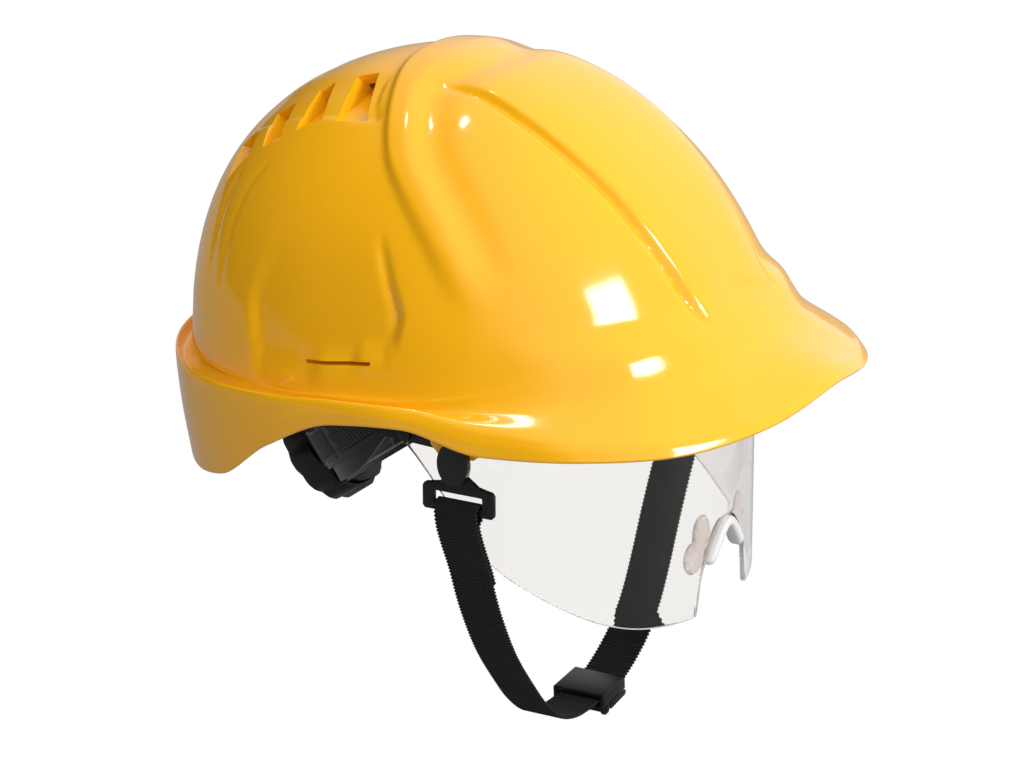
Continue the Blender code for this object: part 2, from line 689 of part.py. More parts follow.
# ---------------------------------------------------------------- headband
BAND_Y, BAND_AX, BAND_AY, BAND_EXP = 8.0, 75.3, 87.0, 2.3
BAND_TOP_D, BAND_FOOT_D = 98.0, 124.0
BAND_T = 1.8
BAND_END = 98.0                 # angle of each end from the front
FRONT_ANCHOR = 24.0             # angle of each front strap slot
FRONT_SLOT_D = 104.4
FRONT_BAR_D = 100.3             # middle of the bar left above a front slot
TEMPLE_HOLE_R = 2.6


def band_plan(theta, grow=0.0):
    """theta in degrees from the front, positive to the wearer's left."""
    angle = math.radians(theta)
    c, s = math.cos(angle), math.sin(angle)
    ax, ay = BAND_AX + grow, BAND_AY + grow
    radius = ((abs(s) / ax) ** BAND_EXP + (abs(c) / ay) ** BAND_EXP) ** (-1 / BAND_EXP)
    return Vector((radius * s, BAND_Y - radius * c, 0))


def band(name, thetas, grows, foot_depth, top_depth, mat):
    """A band along the headband's line. The depths are functions of theta."""
    sections = [upright_wall(band_plan(t, grows[0]), band_plan(t, grows[1]),
                             at_depth(foot_depth(t)), at_depth(top_depth(t))) for t in thetas]
    return swept(name, sections, mat, 40)


def front_anchor(side, depth):
    """Frame at a front strap slot: local x to the left along the band, local z outwards."""
    point = band_plan(side * FRONT_ANCHOR)
    along = band_plan(side * FRONT_ANCHOR + 1) - point
    return frame((point.x, point.y, at_depth(depth)), along, (along.y, -along.x, 0))


def build_headband():
    headband = band("headband", np.linspace(-BAND_END, BAND_END, 41),
                    (-BAND_T / 2, BAND_T / 2),
                    lambda t: BAND_FOOT_D - 2.0 * smooth_step(abs(t), 60, BAND_END),
                    lambda t: BAND_TOP_D - 7.0 * smooth_step(abs(t), 84, 89), BLACK_PP)
    cuts = []
    for side, _ in SIDES:
        cuts.append(box("slot", (-10.2, -1.7, -6), (10.2, 1.7, 6),
                        front_anchor(side, FRONT_SLOT_D)))
        cuts.append(side_disc(side, TEMPLE_Y, TEMPLE_D, TEMPLE_HOLE_R, 14, (70, 82)))
        cuts.append(side_disc(side, SIDE_PEG_Y, SIDE_PEG_D, 2.3, 14, (70, 82)))
    cut(headband, cuts, 40)


build_headband()
band("sweatband", np.linspace(-58, 58, 25), (-BAND_T / 2 - 3.6, -BAND_T / 2 - 0.4),
     lambda t: 125.5, lambda t: 108.3, FOAM)

# ---------------------------------------------------------------- nape yoke
# the nape assembly lies along an arc in a plane that slopes down to the rear
NAPE_Y, NAPE_D, NAPE_TILT = 4.0, 116.0, 36.0
NAPE_BACK = 7.5                 # centre of the nape arc, measured rearward in the tilted plane
NAPE_R, NAPE_T = 78.4, 1.6
YOKE_END = 97
YOKE_ARM_PSI = (30.0, 39.0)
YOKE_ARM_W = (10.0, 68.0)
REAR_PEG_PSI, REAR_PEG_W = 34.5, 61.0       # hole for the peg of a rear key
HOUSING_RIVET_PSI, HOUSING_RIVET_W = 15.5, 12.2

NAPE_ANGLE = math.radians(NAPE_TILT)
NAPE_REARWARD = Vector((0, math.cos(NAPE_ANGLE), -math.sin(NAPE_ANGLE)))    # in the plane
NAPE_UP = Vector((0, math.sin(NAPE_ANGLE), math.cos(NAPE_ANGLE)))           # normal to it
ARC = Vector((0, NAPE_Y, at_depth(NAPE_D))) + NAPE_REARWARD * NAPE_BACK     # arc centre


def nape(psi, radius, rise=0.0):
    """psi in degrees from the rear, positive to the wearer's left. rise is along NAPE_UP."""
    angle = math.radians(psi)
    return (ARC + Vector((1, 0, 0)) * (radius * math.sin(angle))
            + NAPE_REARWARD * (radius * math.cos(angle)) + NAPE_UP * rise)


def nape_band(name, psis, radii, low, high, mat=None, origin=(0, 0, 0)):
    """A band along the nape arc. low and high are functions of psi."""
    inner, outer = radii
    sections = [[nape(p, inner, low(p)), nape(p, outer, low(p)),
                 nape(p, outer, high(p)), nape(p, inner, high(p))] for p in psis]
    return swept(name, sections, mat, 40, origin)


def yoke_half(psi):
    """Half height of the yoke, which narrows towards its ends."""
    return 16.0 - 7.5 * smooth_step(abs(psi), 62, 92)


def rear_peg(side):
    """The middle of a rear peg hole and the level direction out from the crown axis."""
    hole = nape(side * REAR_PEG_PSI, NAPE_R, REAR_PEG_W)
    return hole, Vector((hole.x, hole.y - POLE_Y, 0)).normalized()


def rivet_axis(side):
    """Start, on the axis of the arc, and direction of a ratchet housing rivet."""
    base = nape(side * HOUSING_RIVET_PSI, 0, HOUSING_RIVET_W)
    return base, nape(side * HOUSING_RIVET_PSI, 1, HOUSING_RIVET_W) - base


def rivet_hole(side, start, end):
    base, out = rivet_axis(side)
    return cylinder("hole", base + out * start, base + out * end, 1.9, 12)


def build_yoke():
    radii = (NAPE_R - NAPE_T / 2, NAPE_R + NAPE_T / 2)
    yoke = nape_band("nape_yoke", np.linspace(-YOKE_END, YOKE_END, 49), radii,
                     lambda p: -yoke_half(p), yoke_half, BLACK_PP)
    # arms that reach up to the rear keys
    unite(yoke, [nape_band("arm", [side * p for p in np.linspace(*YOKE_ARM_PSI, 4)], radii,
                           lambda p: YOKE_ARM_W[0], lambda p: YOKE_ARM_W[1])
                 for side, _ in SIDES])
    cuts = []
    for side, _ in SIDES:
        cuts.append(side_disc(side, TEMPLE_Y, TEMPLE_D, TEMPLE_HOLE_R, 14, (70, 84)))
        hole, out = rear_peg(side)
        cuts.append(cylinder("hole", hole - out * 8, hole + out * 8, 2.7, 14))
        cuts.append(rivet_hole(side, NAPE_R - 5, NAPE_R + 5))
    cut(yoke, cuts, 40)


build_yoke()

# ---------------------------------------------------------------- nape tails with racks
TAIL_R_RAD, TAIL_L_RAD, TAIL_T = 80.2, 81.9, 1.4
TAIL_H = 9.5                    # half height of a tail
TAIL_PAST = 24.5                # how far a tail runs past the middle
TAIL_END_PSI = 101.0
RACK_HALF, RACK_PLAIN = 17.8, 6.95      # half length of the slot, distance of its plain edge
TRAVEL = 11.5                   # the most that a tail slides either way
PIN_SLOT_PSI, PIN_SLOT_HALF = 94.0, 2.6
PIN_SLOT_POINT = 1.3            # degrees that the pointed ends add

MODULE, PINION_TEETH, PRESSURE = 1.25, 9, 25.0
TOOTH_ADD, TOOTH_DED, TOOTH_THIN = 1.0, 1.35, 0.21
PITCH = math.pi * MODULE
PITCH_R = MODULE * PINION_TEETH / 2


def rack_outline(rack_side):
    """Outline of a toothed slot (along the arc, up). rack_side 1 has teeth on the upper edge."""
    tip, root = PITCH_R - TOOTH_ADD, PITCH_R + TOOTH_DED
    half_tooth = (PITCH / 2 - TOOTH_THIN) / 2
    slope = math.tan(math.radians(PRESSURE))
    at_root, at_tip = half_tooth + TOOTH_DED * slope, half_tooth - TOOTH_ADD * slope
    outline = [(-RACK_HALF, -RACK_PLAIN), (RACK_HALF, -RACK_PLAIN), (RACK_HALF, root)]
    count = int(RACK_HALF / PITCH)
    for k in range(count, -count - 1, -1):
        # nine teeth: the pinion has a gap at the top when it has a tooth at the bottom
        x = k * PITCH if rack_side > 0 else (k + 0.5) * PITCH
        if abs(x) > RACK_HALF - 1.6:
            continue
        outline += [(x + at_root, root), (x + at_tip, tip), (x - at_tip, tip),
                    (x - at_root, root)]
    outline.append((-RACK_HALF, root))
    outline = [(x, y * rack_side) for x, y in outline]
    return outline if rack_side > 0 else outline[::-1]


def build_tail(name, radius, side, rack_side):
    """A toothed strip that comes from one side and passes the middle of the nape."""
    deg_per_mm = math.degrees(1 / radius)
    psis = [side * p for p in np.linspace(-TAIL_PAST * deg_per_mm, TAIL_END_PSI, 40)]
    tail = nape_band(name, psis, (radius - TAIL_T / 2, radius + TAIL_T / 2),
                     lambda p: -TAIL_H, lambda p: TAIL_H, GREY_PP, ARC)

    # dense along the arc, so that the faces of the wrapped cutter stay clear of the wall
    outline = rack_outline(rack_side)
    dense = []
    for (x0, y0), (x1, y1) in zip(outline, outline[1:] + outline[:1]):
        steps = max(1, int(abs(x1 - x0) / 4))
        dense += [(x0 + (x1 - x0) * i / steps, y0 + (y1 - y0) * i / steps)
                  for i in range(steps)]
    cutter_radii = (radius - 3, radius + 3)
    rack = swept("rack", [[nape(side * x * deg_per_mm, r, y) for x, y in dense]
                          for r in cutter_radii])
    # the curved end caps need triangles of their own
    bm = bmesh.new()
    bm.from_mesh(rack.data)
    bmesh.ops.triangulate(bm, faces=[f for f in bm.faces if len(f.verts) > 4],
                          ngon_method="EAR_CLIP")
    bmesh.ops.recalc_face_normals(bm, faces=bm.faces)
    bm.to_mesh(rack.data)
    bm.free()

    # slot for the temple pin
    span = math.degrees((TRAVEL + 0.4) / radius)
    start, end = PIN_SLOT_PSI - span, PIN_SLOT_PSI + span
    points = [(start, -PIN_SLOT_HALF), (end, -PIN_SLOT_HALF), (end + PIN_SLOT_POINT, 0),
              (end, PIN_SLOT_HALF), (start, PIN_SLOT_HALF), (start - PIN_SLOT_POINT, 0)]
    pin_slot = swept("pin_slot", [[nape(side * psi, r, rise) for psi, rise in points]
                                  for r in cutter_radii])
    cut(tail, [rack, pin_slot], 30)


build_tail("nape_tail_R", TAIL_R_RAD, side=-1, rack_side=1)
build_tail("nape_tail_L", TAIL_L_RAD, side=1, rack_side=-1)
for side, letter in SIDES:
    headed_pin(f"temple_pin_{letter}", 2.0, (4.2, 72.6, 73.8), (3.9, 82.9, 83.8), 14,
               side_plane(side, TEMPLE_Y, at_depth(TEMPLE_D)), BLACK_PP)

# ---------------------------------------------------------------- ratchet
# spans in this section are distances rearward from ARC along the knob's axis
KNOB_FRAME = frame(ARC, (1, 0, 0), NAPE_REARWARD)   # local x = wearer's left
HOUSING_PSI = 21
# curved cover with upper and lower walls: radius, rise
HOUSING_SECTION = [(85.4, -17.0), (85.4, 17.0), (79.8, 17.0), (79.8, 14.6),
                   (83.2, 14.6), (83.2, -14.6), (79.8, -14.6), (79.8, -17.0)]
SHAFT_R = 3.5
SHAFT_BORE_R = 3.8              # in the pawl disc and the knob
KNOB_R = 23.0
KNOB_BACK = 98.6


def knob_axis(name, start, end, radius, count):
    return cylinder(name, ARC + NAPE_REARWARD * start, ARC + NAPE_REARWARD * end, radius, count)


def build_housing():
    housing = swept("ratchet_housing",
                    [[nape(psi, radius, rise) for radius, rise in HOUSING_SECTION]
                     for psi in np.linspace(-HOUSING_PSI, HOUSING_PSI, 15)], BLACK_PP, 35)
    # round flat boss
    boss = [(0, 84.1), (20.6, 84.1), (20.6, 86.0), (0, 86.0)]
    unite(housing, [turned("boss", boss, 32, KNOB_FRAME)])
    cuts = [knob_axis("bore", 78, 90, 3.9, 18)]
    cuts += [rivet_hole(side, 80, 95) for side, _ in SIDES]
    cut(housing, cuts, 35)
    for side, letter in SIDES:
        base, out = rivet_axis(side)
        headed_pin(f"housing_rivet_{letter}", 1.6, (3.2, 76.4, 77.3), (3.2, 86.6, 87.6), 12,
                   frame(base, UP, out), BLACK_PP)


def involute(angle):
    return math.tan(angle) - angle


def pinion_outline():
    base_r = PITCH_R * math.cos(math.radians(PRESSURE))
    half_at_pitch = (PITCH / 2 - TOOTH_THIN) / (2 * PITCH_R)
    flank = []      # radius and half angle of the tooth, from the base circle to the tip
    for radius in np.linspace(base_r, PITCH_R + TOOTH_ADD, 5):
        angle = math.acos(min(1.0, base_r / radius))
        flank.append((radius, half_at_pitch + involute(math.radians(PRESSURE))
                      - involute(angle)))
    flank.insert(0, (PITCH_R - TOOTH_DED, flank[0][1] + 0.02))
    points = []
    for k in range(PINION_TEETH):
        middle = 2 * math.pi * k / PINION_TEETH
        points += [(radius, middle - half) for radius, half in flank]
        points += [(radius, middle + half) for radius, half in flank[::-1]]
    return [(radius * math.cos(a), radius * math.sin(a)) for radius, a in points]


def build_pinion():
    """Involute pinion in one piece with its shaft. One tooth points straight down."""
    place = KNOB_FRAME @ Matrix.Rotation(math.pi / 2, 4, "Z")
    pinion = prism("ratchet_pinion", pinion_outline(), (79.5, 82.9), place, GREY_PP, 30, ARC)
    unite(pinion, [knob_axis("shaft", 82, 96.5, SHAFT_R, 16)], 30)


def build_detent_ring():
    ring = prism("detent_ring", circle(20.2, 48), (86.3, 90.3), KNOB_FRAME, BLACK_PP, 30)
    notches = polar_outline([17.3, 18.6] * 24)
    cut(ring, [prism("notches", notches, (85, 92), KNOB_FRAME)], 30)


def build_pawl():
    """Disc with two opposite pawls that turns inside the detent ring."""
    half = [16.9, 14.6] + [12.5] * 21 + [14.6]
    pawl = prism("pawl_disc", polar_outline(half * 2), (86.6, 90.0), KNOB_FRAME, GREY_PP, 30,
                 ARC)
    cut(pawl, [knob_axis("bore", 80, 95, SHAFT_BORE_R, 16)], 30)


def build_knob():
    """A cup with a fluted grip, and the cap in its rear face."""
    dips = [0.0, 0.0, 0.55, 1.1, 0.55, 0.0]
    outline = polar_outline([KNOB_R - dip for dip in dips] * 12)
    knob = prism("ratchet_knob", outline, (87.0, KNOB_BACK), KNOB_FRAME, BLACK_PP, 30, ARC)
    cup = [(0, 86.0), (20.9, 86.0), (20.9, 91.2), (0, 91.2)]
    dish = [(0, 97.0), (17.6, 97.0), (18.4, 99.5), (0, 99.5)]
    cut(knob, [turned("cup", cup, 36, KNOB_FRAME),
               knob_axis("bore", 88, 97.0, SHAFT_BORE_R, 16),
               turned("dish", dish, 32, KNOB_FRAME)], 30)
    cap = [(0, 97.3), (17.0, 97.3), (16.6, KNOB_BACK), (12.0, 99.4), (0, 99.4)]
    turned("knob_cap", cap, 28, KNOB_FRAME, GREY_PP, 30, ARC)


build_housing()
build_pinion()
build_detent_ring()
build_pawl()
build_knob()
nape_band("nape_pad", np.linspace(-27, 27, 15), (72.4, 76.1), lambda p: -15.0, lambda p: 15.0,
          FOAM)

# ---------------------------------------------------------------- suspension keys
KEY_BAR, KEY_FOOT = -22.5, -33.0    # height of the bar a tape turns round, and of the foot
KEY_PLATE_X = (-5.3, -2.3)
KEY_PLATE_HALF = 10.5


def build_key(key):
    """Blade in the shell socket, slotted plate for a tape, and a peg to the headband or yoke."""
    place = socket_frame(key)
    side = -1 if key.endswith("R") else 1
    blade = box(f"key_{key}", (-2.5, -7.1, -9.5), (-0.7, 7.1, 4.6), place, BLACK_PP)
    plate = box("plate", (KEY_PLATE_X[0], -KEY_PLATE_HALF, KEY_FOOT),
                (KEY_PLATE_X[1], KEY_PLATE_HALF, -8.7), place)
    link = box("link", (-4.0, -7.1, -10.5), (-0.7, 7.1, -8.7), place)
    if key.startswith("rear"):
        # peg from the plate through the arm of the nape yoke
        hole, out = rear_peg(side)
        local = place.inverted() @ hole
        extra = [cylinder("peg", hole - out * 3.2, hole + out * (-3.0 - local.x), 2.1, 12)]
    else:
        # arm in towards the headband, with a peg at its end
        extra = [box("arm", (11.7, at_depth(SIDE_PEG_D + 2.5), 77.6),
                     (16.2, at_depth(SIDE_PEG_D - 2.5), socket_radius(key) - 3.6),
                     side_plane(side)),
                 side_disc(side, SIDE_PEG_Y, SIDE_PEG_D, 1.9, 12, (73.2, 79.0))]
    unite(blade, [plate, link] + extra)
    cut(blade, [box("slot", (-7, -8.0, KEY_BAR - 6.0), (0, 8.0, KEY_BAR - 2.0), place),
                box("slot", (-7, -8.0, KEY_BAR + 2.0), (0, 8.0, KEY_BAR + 9.0), place)], 30)


for key in SOCKETS:
    build_key(key)

# ---------------------------------------------------------------- cradle tapes
STRAP_W, STRAP_T = 15.0, 1.1
KEY_BAR_X = (KEY_PLATE_X[0] + KEY_PLATE_X[1]) / 2
KEY_TURN_R = 2.9 + STRAP_T / 2
BAND_TURN_R = 3.1 + STRAP_T / 2
CROSSING = Vector((0, POLE_Y + 3.0, 0))     # plan position where the tapes cross
SHOULDER = 0.92                             # exponent of the tape's curve over the crown


def key_loop(key):
    """From the free end inside a key's bar, under it, up outside it and back in above it."""
    place = socket_frame(key)
    bar = place @ Vector((KEY_BAR_X, 0, KEY_BAR))
    inward = -(place.to_3x3() @ Vector((1, 0, 0)))
    turn, turn_normals = half_turn(bar, inward, -UP, KEY_TURN_R)
    points = [bar + inward * KEY_TURN_R + UP * 1.2] + turn
    points += [bar - inward * KEY_TURN_R + UP * 1.6,
               bar - inward * (KEY_TURN_R - 1.6) + UP * 4.0,
               bar + inward * 1.4 + UP * 6.4,
               bar + inward * 2.9 + UP * 9.0]
    normals = [inward] + turn_normals
    normals += [-inward, -inward - UP * 0.6, -inward - UP * 1.2, -inward - UP * 0.5]
    return points, normals


def band_loop(side):
    """From the free end inside the headband, under the bar of a front slot and up outside."""
    place = front_anchor(side, FRONT_BAR_D)
    bar = place.translation
    inward = -(place.to_3x3() @ Vector((0, 0, 1)))
    turn, turn_normals = half_turn(bar, inward, -UP, BAND_TURN_R)
    free_end = [bar + inward * BAND_TURN_R + UP * rise for rise in (12.0, 6.0)]
    return free_end + turn, [inward] * 2 + turn_normals


def crown_tape(name, start_loop, end_loop, rise):
    """A tape from one loop to the other, passing over the crossing at the height `rise`."""
    (start_points, start_normals), (end_points, end_normals) = start_loop, end_loop
    start, end = start_points[-1], end_points[-1]
    climbs = []
    for foot in (start, end):
        radial = Vector((foot.x - CROSSING.x, foot.y - CROSSING.y, 0))
        climbs.append([CROSSING + radial * (math.cos(a) ** SHOULDER)
                       + UP * (foot.z + (rise - foot.z) * math.sin(a) ** SHOULDER)
                       for a in [k / 7 * math.pi / 2 for k in range(1, 7)]])
    over = climbs[0] + [CROSSING + UP * rise] + climbs[1][::-1]
    path = start_points + over + end_points[::-1]
    across = (end - start).cross(UP).normalized()
    first = len(start_points)
    over_normals = [tangent(path, first + i).cross(across) for i in range(len(over))]
    normals = start_normals + over_normals + end_normals[::-1]
    normals = [square_to(normal, tangent(path, i)) for i, normal in enumerate(normals)]
    ribbon(name, path, face_one_way(normals), STRAP_W, STRAP_T, CRADLE_TAPE)


crown_tape("crown_tape_cross", key_loop("side_R"), key_loop("side_L"), rise=5.2)
crown_tape("crown_tape_diagonal_1", key_loop("rear_R"), band_loop(1), rise=7.1)
crown_tape("crown_tape_diagonal_2", key_loop("rear_L"), band_loop(-1), rise=9.0)
# crown pad: a thick soft disc under the crossing, with its flat underside at height 0
turned("crown_pad", [(0, 0), (30.0, 0), (32.0, 0.7), (31.0, 1.4), (18.0, 3.0), (0, 3.9)], 36,
       Matrix.Translation((0, POLE_Y, 0)), FOAM)

# ---------------------------------------------------------------- chin strap clips
SWING = Vector((0, LUG_Y, at_depth(LUG_D)))
CLIP_D, CLIP_HALF_WIDE, CLIP_HALF_HIGH = 129.8, 6.6, 8.6
STUD_R = 2.2
LOW_STUD_D = 134.0              # stud that the slotted plate hangs on
PLATE_X = (99.9, 102.1)
PLATE_FOOT_D = 150.6
WEB_SLOT_D = (142.7, 147.2)     # top and foot of the slot for the webbing
# front half of the slotted plate: y from the swing axis, depth
PLATE_HALF = [(-3.6, 129.0), (-3.6, 135.5), (-8.5, 139.0), (-14.6, 140.2), (-15.4, 141.5),
              (-15.4, 149.5), (-14.4, PLATE_FOOT_D)]


def build_clip(side, letter):
    """Oval clip outside the lug, with a stud through it and one for the slotted plate."""
    oval = [(CLIP_HALF_WIDE * x, at_depth(CLIP_D) + CLIP_HALF_HIGH * y)
            for x, y in circle(1.0, 28)]
    clip = prism(f"chin_clip_{letter}", oval, (103.6, 106.3), side_plane(side, LUG_Y),
                 BLACK_GLOSS, 40, SWING)
    unite(clip, [side_disc(side, LUG_Y, LUG_D, STUD_R, 14, (99.4, 104.5)),
                 side_disc(side, LUG_Y, LOW_STUD_D, STUD_R, 14, (98.6, 104.5))], 40)


def build_slot_bar(side, letter):
    """Neck, shoulders and a slotted plate."""
    place = side_plane(side, LUG_Y)
    outline = PLATE_HALF + [(-y, depth) for y, depth in PLATE_HALF[::-1]]
    bar = prism(f"slot_bar_{letter}", side_outline(outline), PLATE_X, place, BLACK_PP, 30,
                SWING)
    top, foot = WEB_SLOT_D
    cut(bar, [box("slot", (-10.4, at_depth(foot), 97), (10.4, at_depth(top), 106), place),
              side_disc(side, LUG_Y, LOW_STUD_D, 2.5, 14, (97, 106))], 30)


for side, letter in SIDES:
    build_clip(side, letter)
    build_slot_bar(side, letter)

# ---------------------------------------------------------------- chin webbing
WEB_W, WEB_T = 19.0, 1.4
# the line of the webbing in the plane of the strap: x, depth
LINE_R = ((-103.95, 149.5), (-102.4, 157.0), (-98.0, 167.0), (-93.0, 177.0), (-85.0, 196.0),
          (-72.5, 218.0), (-57.0, 237.5), (-47.0, 248.4), (-35.0, 257.8), (-22.0, 262.2),
          (-10.0, 263.0))
LINE_L = ((103.95, 149.5), (101.5, 155.5), (95.8, 163.5), (89.5, 172.8), (82.0, 184.0),
          (74.5, 196.0), (67.0, 209.5), (59.8, 223.5), (51.0, 238.0), (40.0, 249.2),
          (29.0, 256.0), (22.0, 259.2))
BUCKLE = Vector((5.2, LUG_Y, at_depth(262.2)))
BUCKLE_SLOPE = math.radians(4.6)
BUCKLE_ALONG = Vector((math.cos(BUCKLE_SLOPE), 0, math.sin(BUCKLE_SLOPE)))
BUCKLE_ABOVE = Vector((-math.sin(BUCKLE_SLOPE), 0, math.cos(BUCKLE_SLOPE)))
BAR_X = (PLATE_X[0] + PLATE_X[1]) / 2
BAR_D = (WEB_SLOT_D[1] + PLATE_FOOT_D) / 2
WEB_TURN_R = 2.25 + WEB_T / 2
FOLD_GAP = WEB_T + 0.35


def web_piece(name, line, side, tail):
    """Webbing that turns round the bar of the slotted plate and runs down the given line."""
    bar = Vector((side * BAR_X, LUG_Y, at_depth(BAR_D)))
    inward = Vector((-side, 0, 0))
    curve = catmull_rom([Vector((x, LUG_Y, at_depth(depth))) for x, depth in line], 3)
    curve_normals = []
    for i in range(len(curve)):
        normal = tangent(curve, i).cross(Vector((0, 1, 0)))
        curve_normals.append(-normal if normal.dot(inward + UP) < 0 else normal)
    # the folded run lies inside the outer one
    fold_normals = curve_normals[3:9][::-1]
    fold = [point + normal * FOLD_GAP for point, normal in zip(curve[3:9][::-1], fold_normals)]
    turn, turn_normals = half_turn(bar, inward, UP, WEB_TURN_R)
    path = fold + [turn[0] - UP * 2.0] + turn + curve[1:] + tail
    normals = face_one_way(fold_normals + [inward] + turn_normals + curve_normals[1:])
    normals += [normals[-1]] * len(tail)
    ribbon(name, path, normals, WEB_W, WEB_T, WEBBING, SWING)


# the right piece runs under the chin into the buckle, the left piece into its other end
web_piece("chin_web_R", LINE_R, -1, [BUCKLE - BUCKLE_ALONG * 1.0])
web_piece("chin_web_L", LINE_L, 1, [BUCKLE + BUCKLE_ALONG * 11.5, BUCKLE + BUCKLE_ALONG * 1.0])

# ---------------------------------------------------------------- buckle
LEVER_PIN = BUCKLE - BUCKLE_ALONG * 6.8 - BUCKLE_ABOVE * 3.5
LEVER_PLACE = frame(LEVER_PIN, BUCKLE_ALONG, BUCKLE_ABOVE) @ ON_EDGE
BUCKLE_INNER, BUCKLE_OUTER = 9.9, 11.6      # half widths inside and outside the cheeks
PIN_HOLE_R = 1.25
# outlines round the lever pin: along the buckle, up
EAR = [(-2.8, 3.0), (-2.8, -1.4), (-1.4, -2.6), (1.4, -2.6), (2.6, -1.2), (2.6, 3.0)]
LEVER_TIP = [(15.6, 1.3), (16.6, 0.6), (16.6, -0.4), (15.8, -1.2)]


def build_buckle_body():
    """A tunnel for the webbing with two ears below it for the lever pin."""
    place = frame(BUCKLE, BUCKLE_ALONG, BUCKLE_ABOVE)
    body = box("buckle_body", (-9.6, -BUCKLE_OUTER, -1.7), (9.4, BUCKLE_OUTER, 3.2), place,
               BLACK_PP, SWING)
    unite(body, [prism("ear", EAR, (side * BUCKLE_INNER, side * BUCKLE_OUTER), LEVER_PLACE)
                 for side, _ in SIDES])
    cut(body, [box("tunnel", (-14, -BUCKLE_INNER, -3.0), (14, BUCKLE_INNER, 1.2), place),
               prism("hole", circle(PIN_HOLE_R, 12), (-14, 14), LEVER_PLACE)], 30)


def build_buckle_lever():
    """Barrel on the pin with a blade that widens beyond the ears."""
    half = Vector((0, 9.5, 0))
    lever = cylinder("buckle_lever", LEVER_PIN - half, LEVER_PIN + half, 2.1, 18, BLACK_PP,
                     LEVER_PIN)
    blade = [(-0.2, -2.0), (-0.2, 1.3)] + LEVER_TIP + [(4.0, -2.0)]
    wide = [(3.7, -2.0), (3.7, 1.3)] + LEVER_TIP
    unite(lever, [prism("blade", blade, (-9.5, 9.5), LEVER_PLACE),
                  prism("wide", wide, (-11.5, 11.5), LEVER_PLACE)])
    cut(lever, [prism("hole", circle(PIN_HOLE_R, 12), (-12, 12), LEVER_PLACE)], 30)


def build_buckle_pin():
    half = Vector((0, 11.9, 0))
    cylinder("buckle_pin", LEVER_PIN - half, LEVER_PIN + half, 0.95, 12, STEEL, SWING)


build_buckle_body()
build_buckle_lever()
build_buckle_pin()

# every piece moves onto the crown axis
for obj in bpy.data.objects:
    obj.location.y -= POLE_Y * MM
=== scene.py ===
"""Looks of a hard hat: moulded shell, clear visor, woven tapes and webbing, soft pads, fittings.

Pieces are drawn in mm: +X is the wearer's left, -Y the front, +Z up. The crown axis stands at
y = POLE_Y and the crown at z = CROWN_Z. Depths run down from the crown. Meshes are written in
metres with the crown axis at x = y = 0. Names that end in _R are on the wearer's right (-X).
"""

import math

import bmesh
import bpy
import numpy as np
from mathutils import Matrix, Vector

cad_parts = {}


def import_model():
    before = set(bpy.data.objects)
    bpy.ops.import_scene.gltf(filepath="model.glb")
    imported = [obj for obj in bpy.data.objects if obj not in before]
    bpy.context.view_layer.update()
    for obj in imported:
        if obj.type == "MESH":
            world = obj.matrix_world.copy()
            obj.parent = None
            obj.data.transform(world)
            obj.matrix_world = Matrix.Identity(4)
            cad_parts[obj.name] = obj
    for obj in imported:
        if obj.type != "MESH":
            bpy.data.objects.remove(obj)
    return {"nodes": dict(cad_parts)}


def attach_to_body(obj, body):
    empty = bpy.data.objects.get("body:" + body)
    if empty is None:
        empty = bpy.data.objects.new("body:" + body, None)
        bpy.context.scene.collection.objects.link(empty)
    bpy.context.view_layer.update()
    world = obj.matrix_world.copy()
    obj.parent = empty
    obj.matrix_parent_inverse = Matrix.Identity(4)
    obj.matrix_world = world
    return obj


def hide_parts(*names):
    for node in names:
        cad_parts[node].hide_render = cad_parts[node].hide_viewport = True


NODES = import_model()["nodes"]
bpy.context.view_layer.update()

MM = 0.001
UP = Vector((0, 0, 1))
SIDES = ((-1, "R"), (1, "L"))
CROWN_Z, POLE_Y = 38.0, 16.0

# woven tapes: size, spacing of the ribs, depth of a rib in the faces and in the edges, mesh step
CHIN_WEAVE = dict(width=19.0, thick=1.4, pitch=1.7, rib=0.36, scallop=0.58, step=0.34)
CRADLE_WEAVE = dict(width=15.0, thick=1.1, pitch=1.2, rib=0.09, scallop=0.12, step=0.4)

# ================================================================ materials


def new_material(name):
    material = bpy.data.materials.new(name)
    material.use_nodes = True
    tree = material.node_tree
    place = add(tree, "ShaderNodeTexCoord").outputs["Object"]
    return material, tree, tree.nodes["Principled BSDF"], place


def put(tree, socket, value):
    """Links an output to a socket, or stores a plain value in it."""
    if isinstance(value, bpy.types.NodeSocket):
        tree.links.new(value, socket)
    else:
        socket.default_value = value


def fill(tree, node, **values):
    """Each value goes to the input of that name (underscores for spaces) or to a property."""
    for key, value in values.items():
        label = key.replace("_", " ")
        if label in node.inputs.keys():
            put(tree, node.inputs[label], value)
        else:
            setattr(node, key, value)


def add(tree, kind, *inputs, **values):
    """A new node; the unnamed inputs are filled in order."""
    node = tree.nodes.new(kind)
    fill(tree, node, **values)
    for socket, value in zip(node.inputs, inputs):
        put(tree, socket, value)
    return node


def calculate(tree, operation, *inputs):
    return add(tree, "ShaderNodeMath", *inputs, operation=operation).outputs[0]


def ramp(tree, source, *stops):
    node = add(tree, "ShaderNodeValToRGB", source)
    elements = node.color_ramp.elements
    for element, (position, rgb) in zip(elements, (stops[0], stops[-1])):
        element.position = position
        element.color = (*rgb, 1)
    for position, rgb in stops[1:-1]:
        elements.new(position).color = (*rgb, 1)
    return node.outputs["Color"]


def spread(tree, source, low, high):
    """Maps 0..1 to low..high."""
    node = add(tree, "ShaderNodeMapRange", Value=source, To_Min=low, To_Max=high)
    return node.outputs["Result"]


def noise(tree, place, scale, detail=3.0, rough=0.5):
    node = add(tree, "ShaderNodeTexNoise", Vector=place, Scale=scale, Detail=detail,
               Roughness=rough)
    return node.outputs["Fac"]


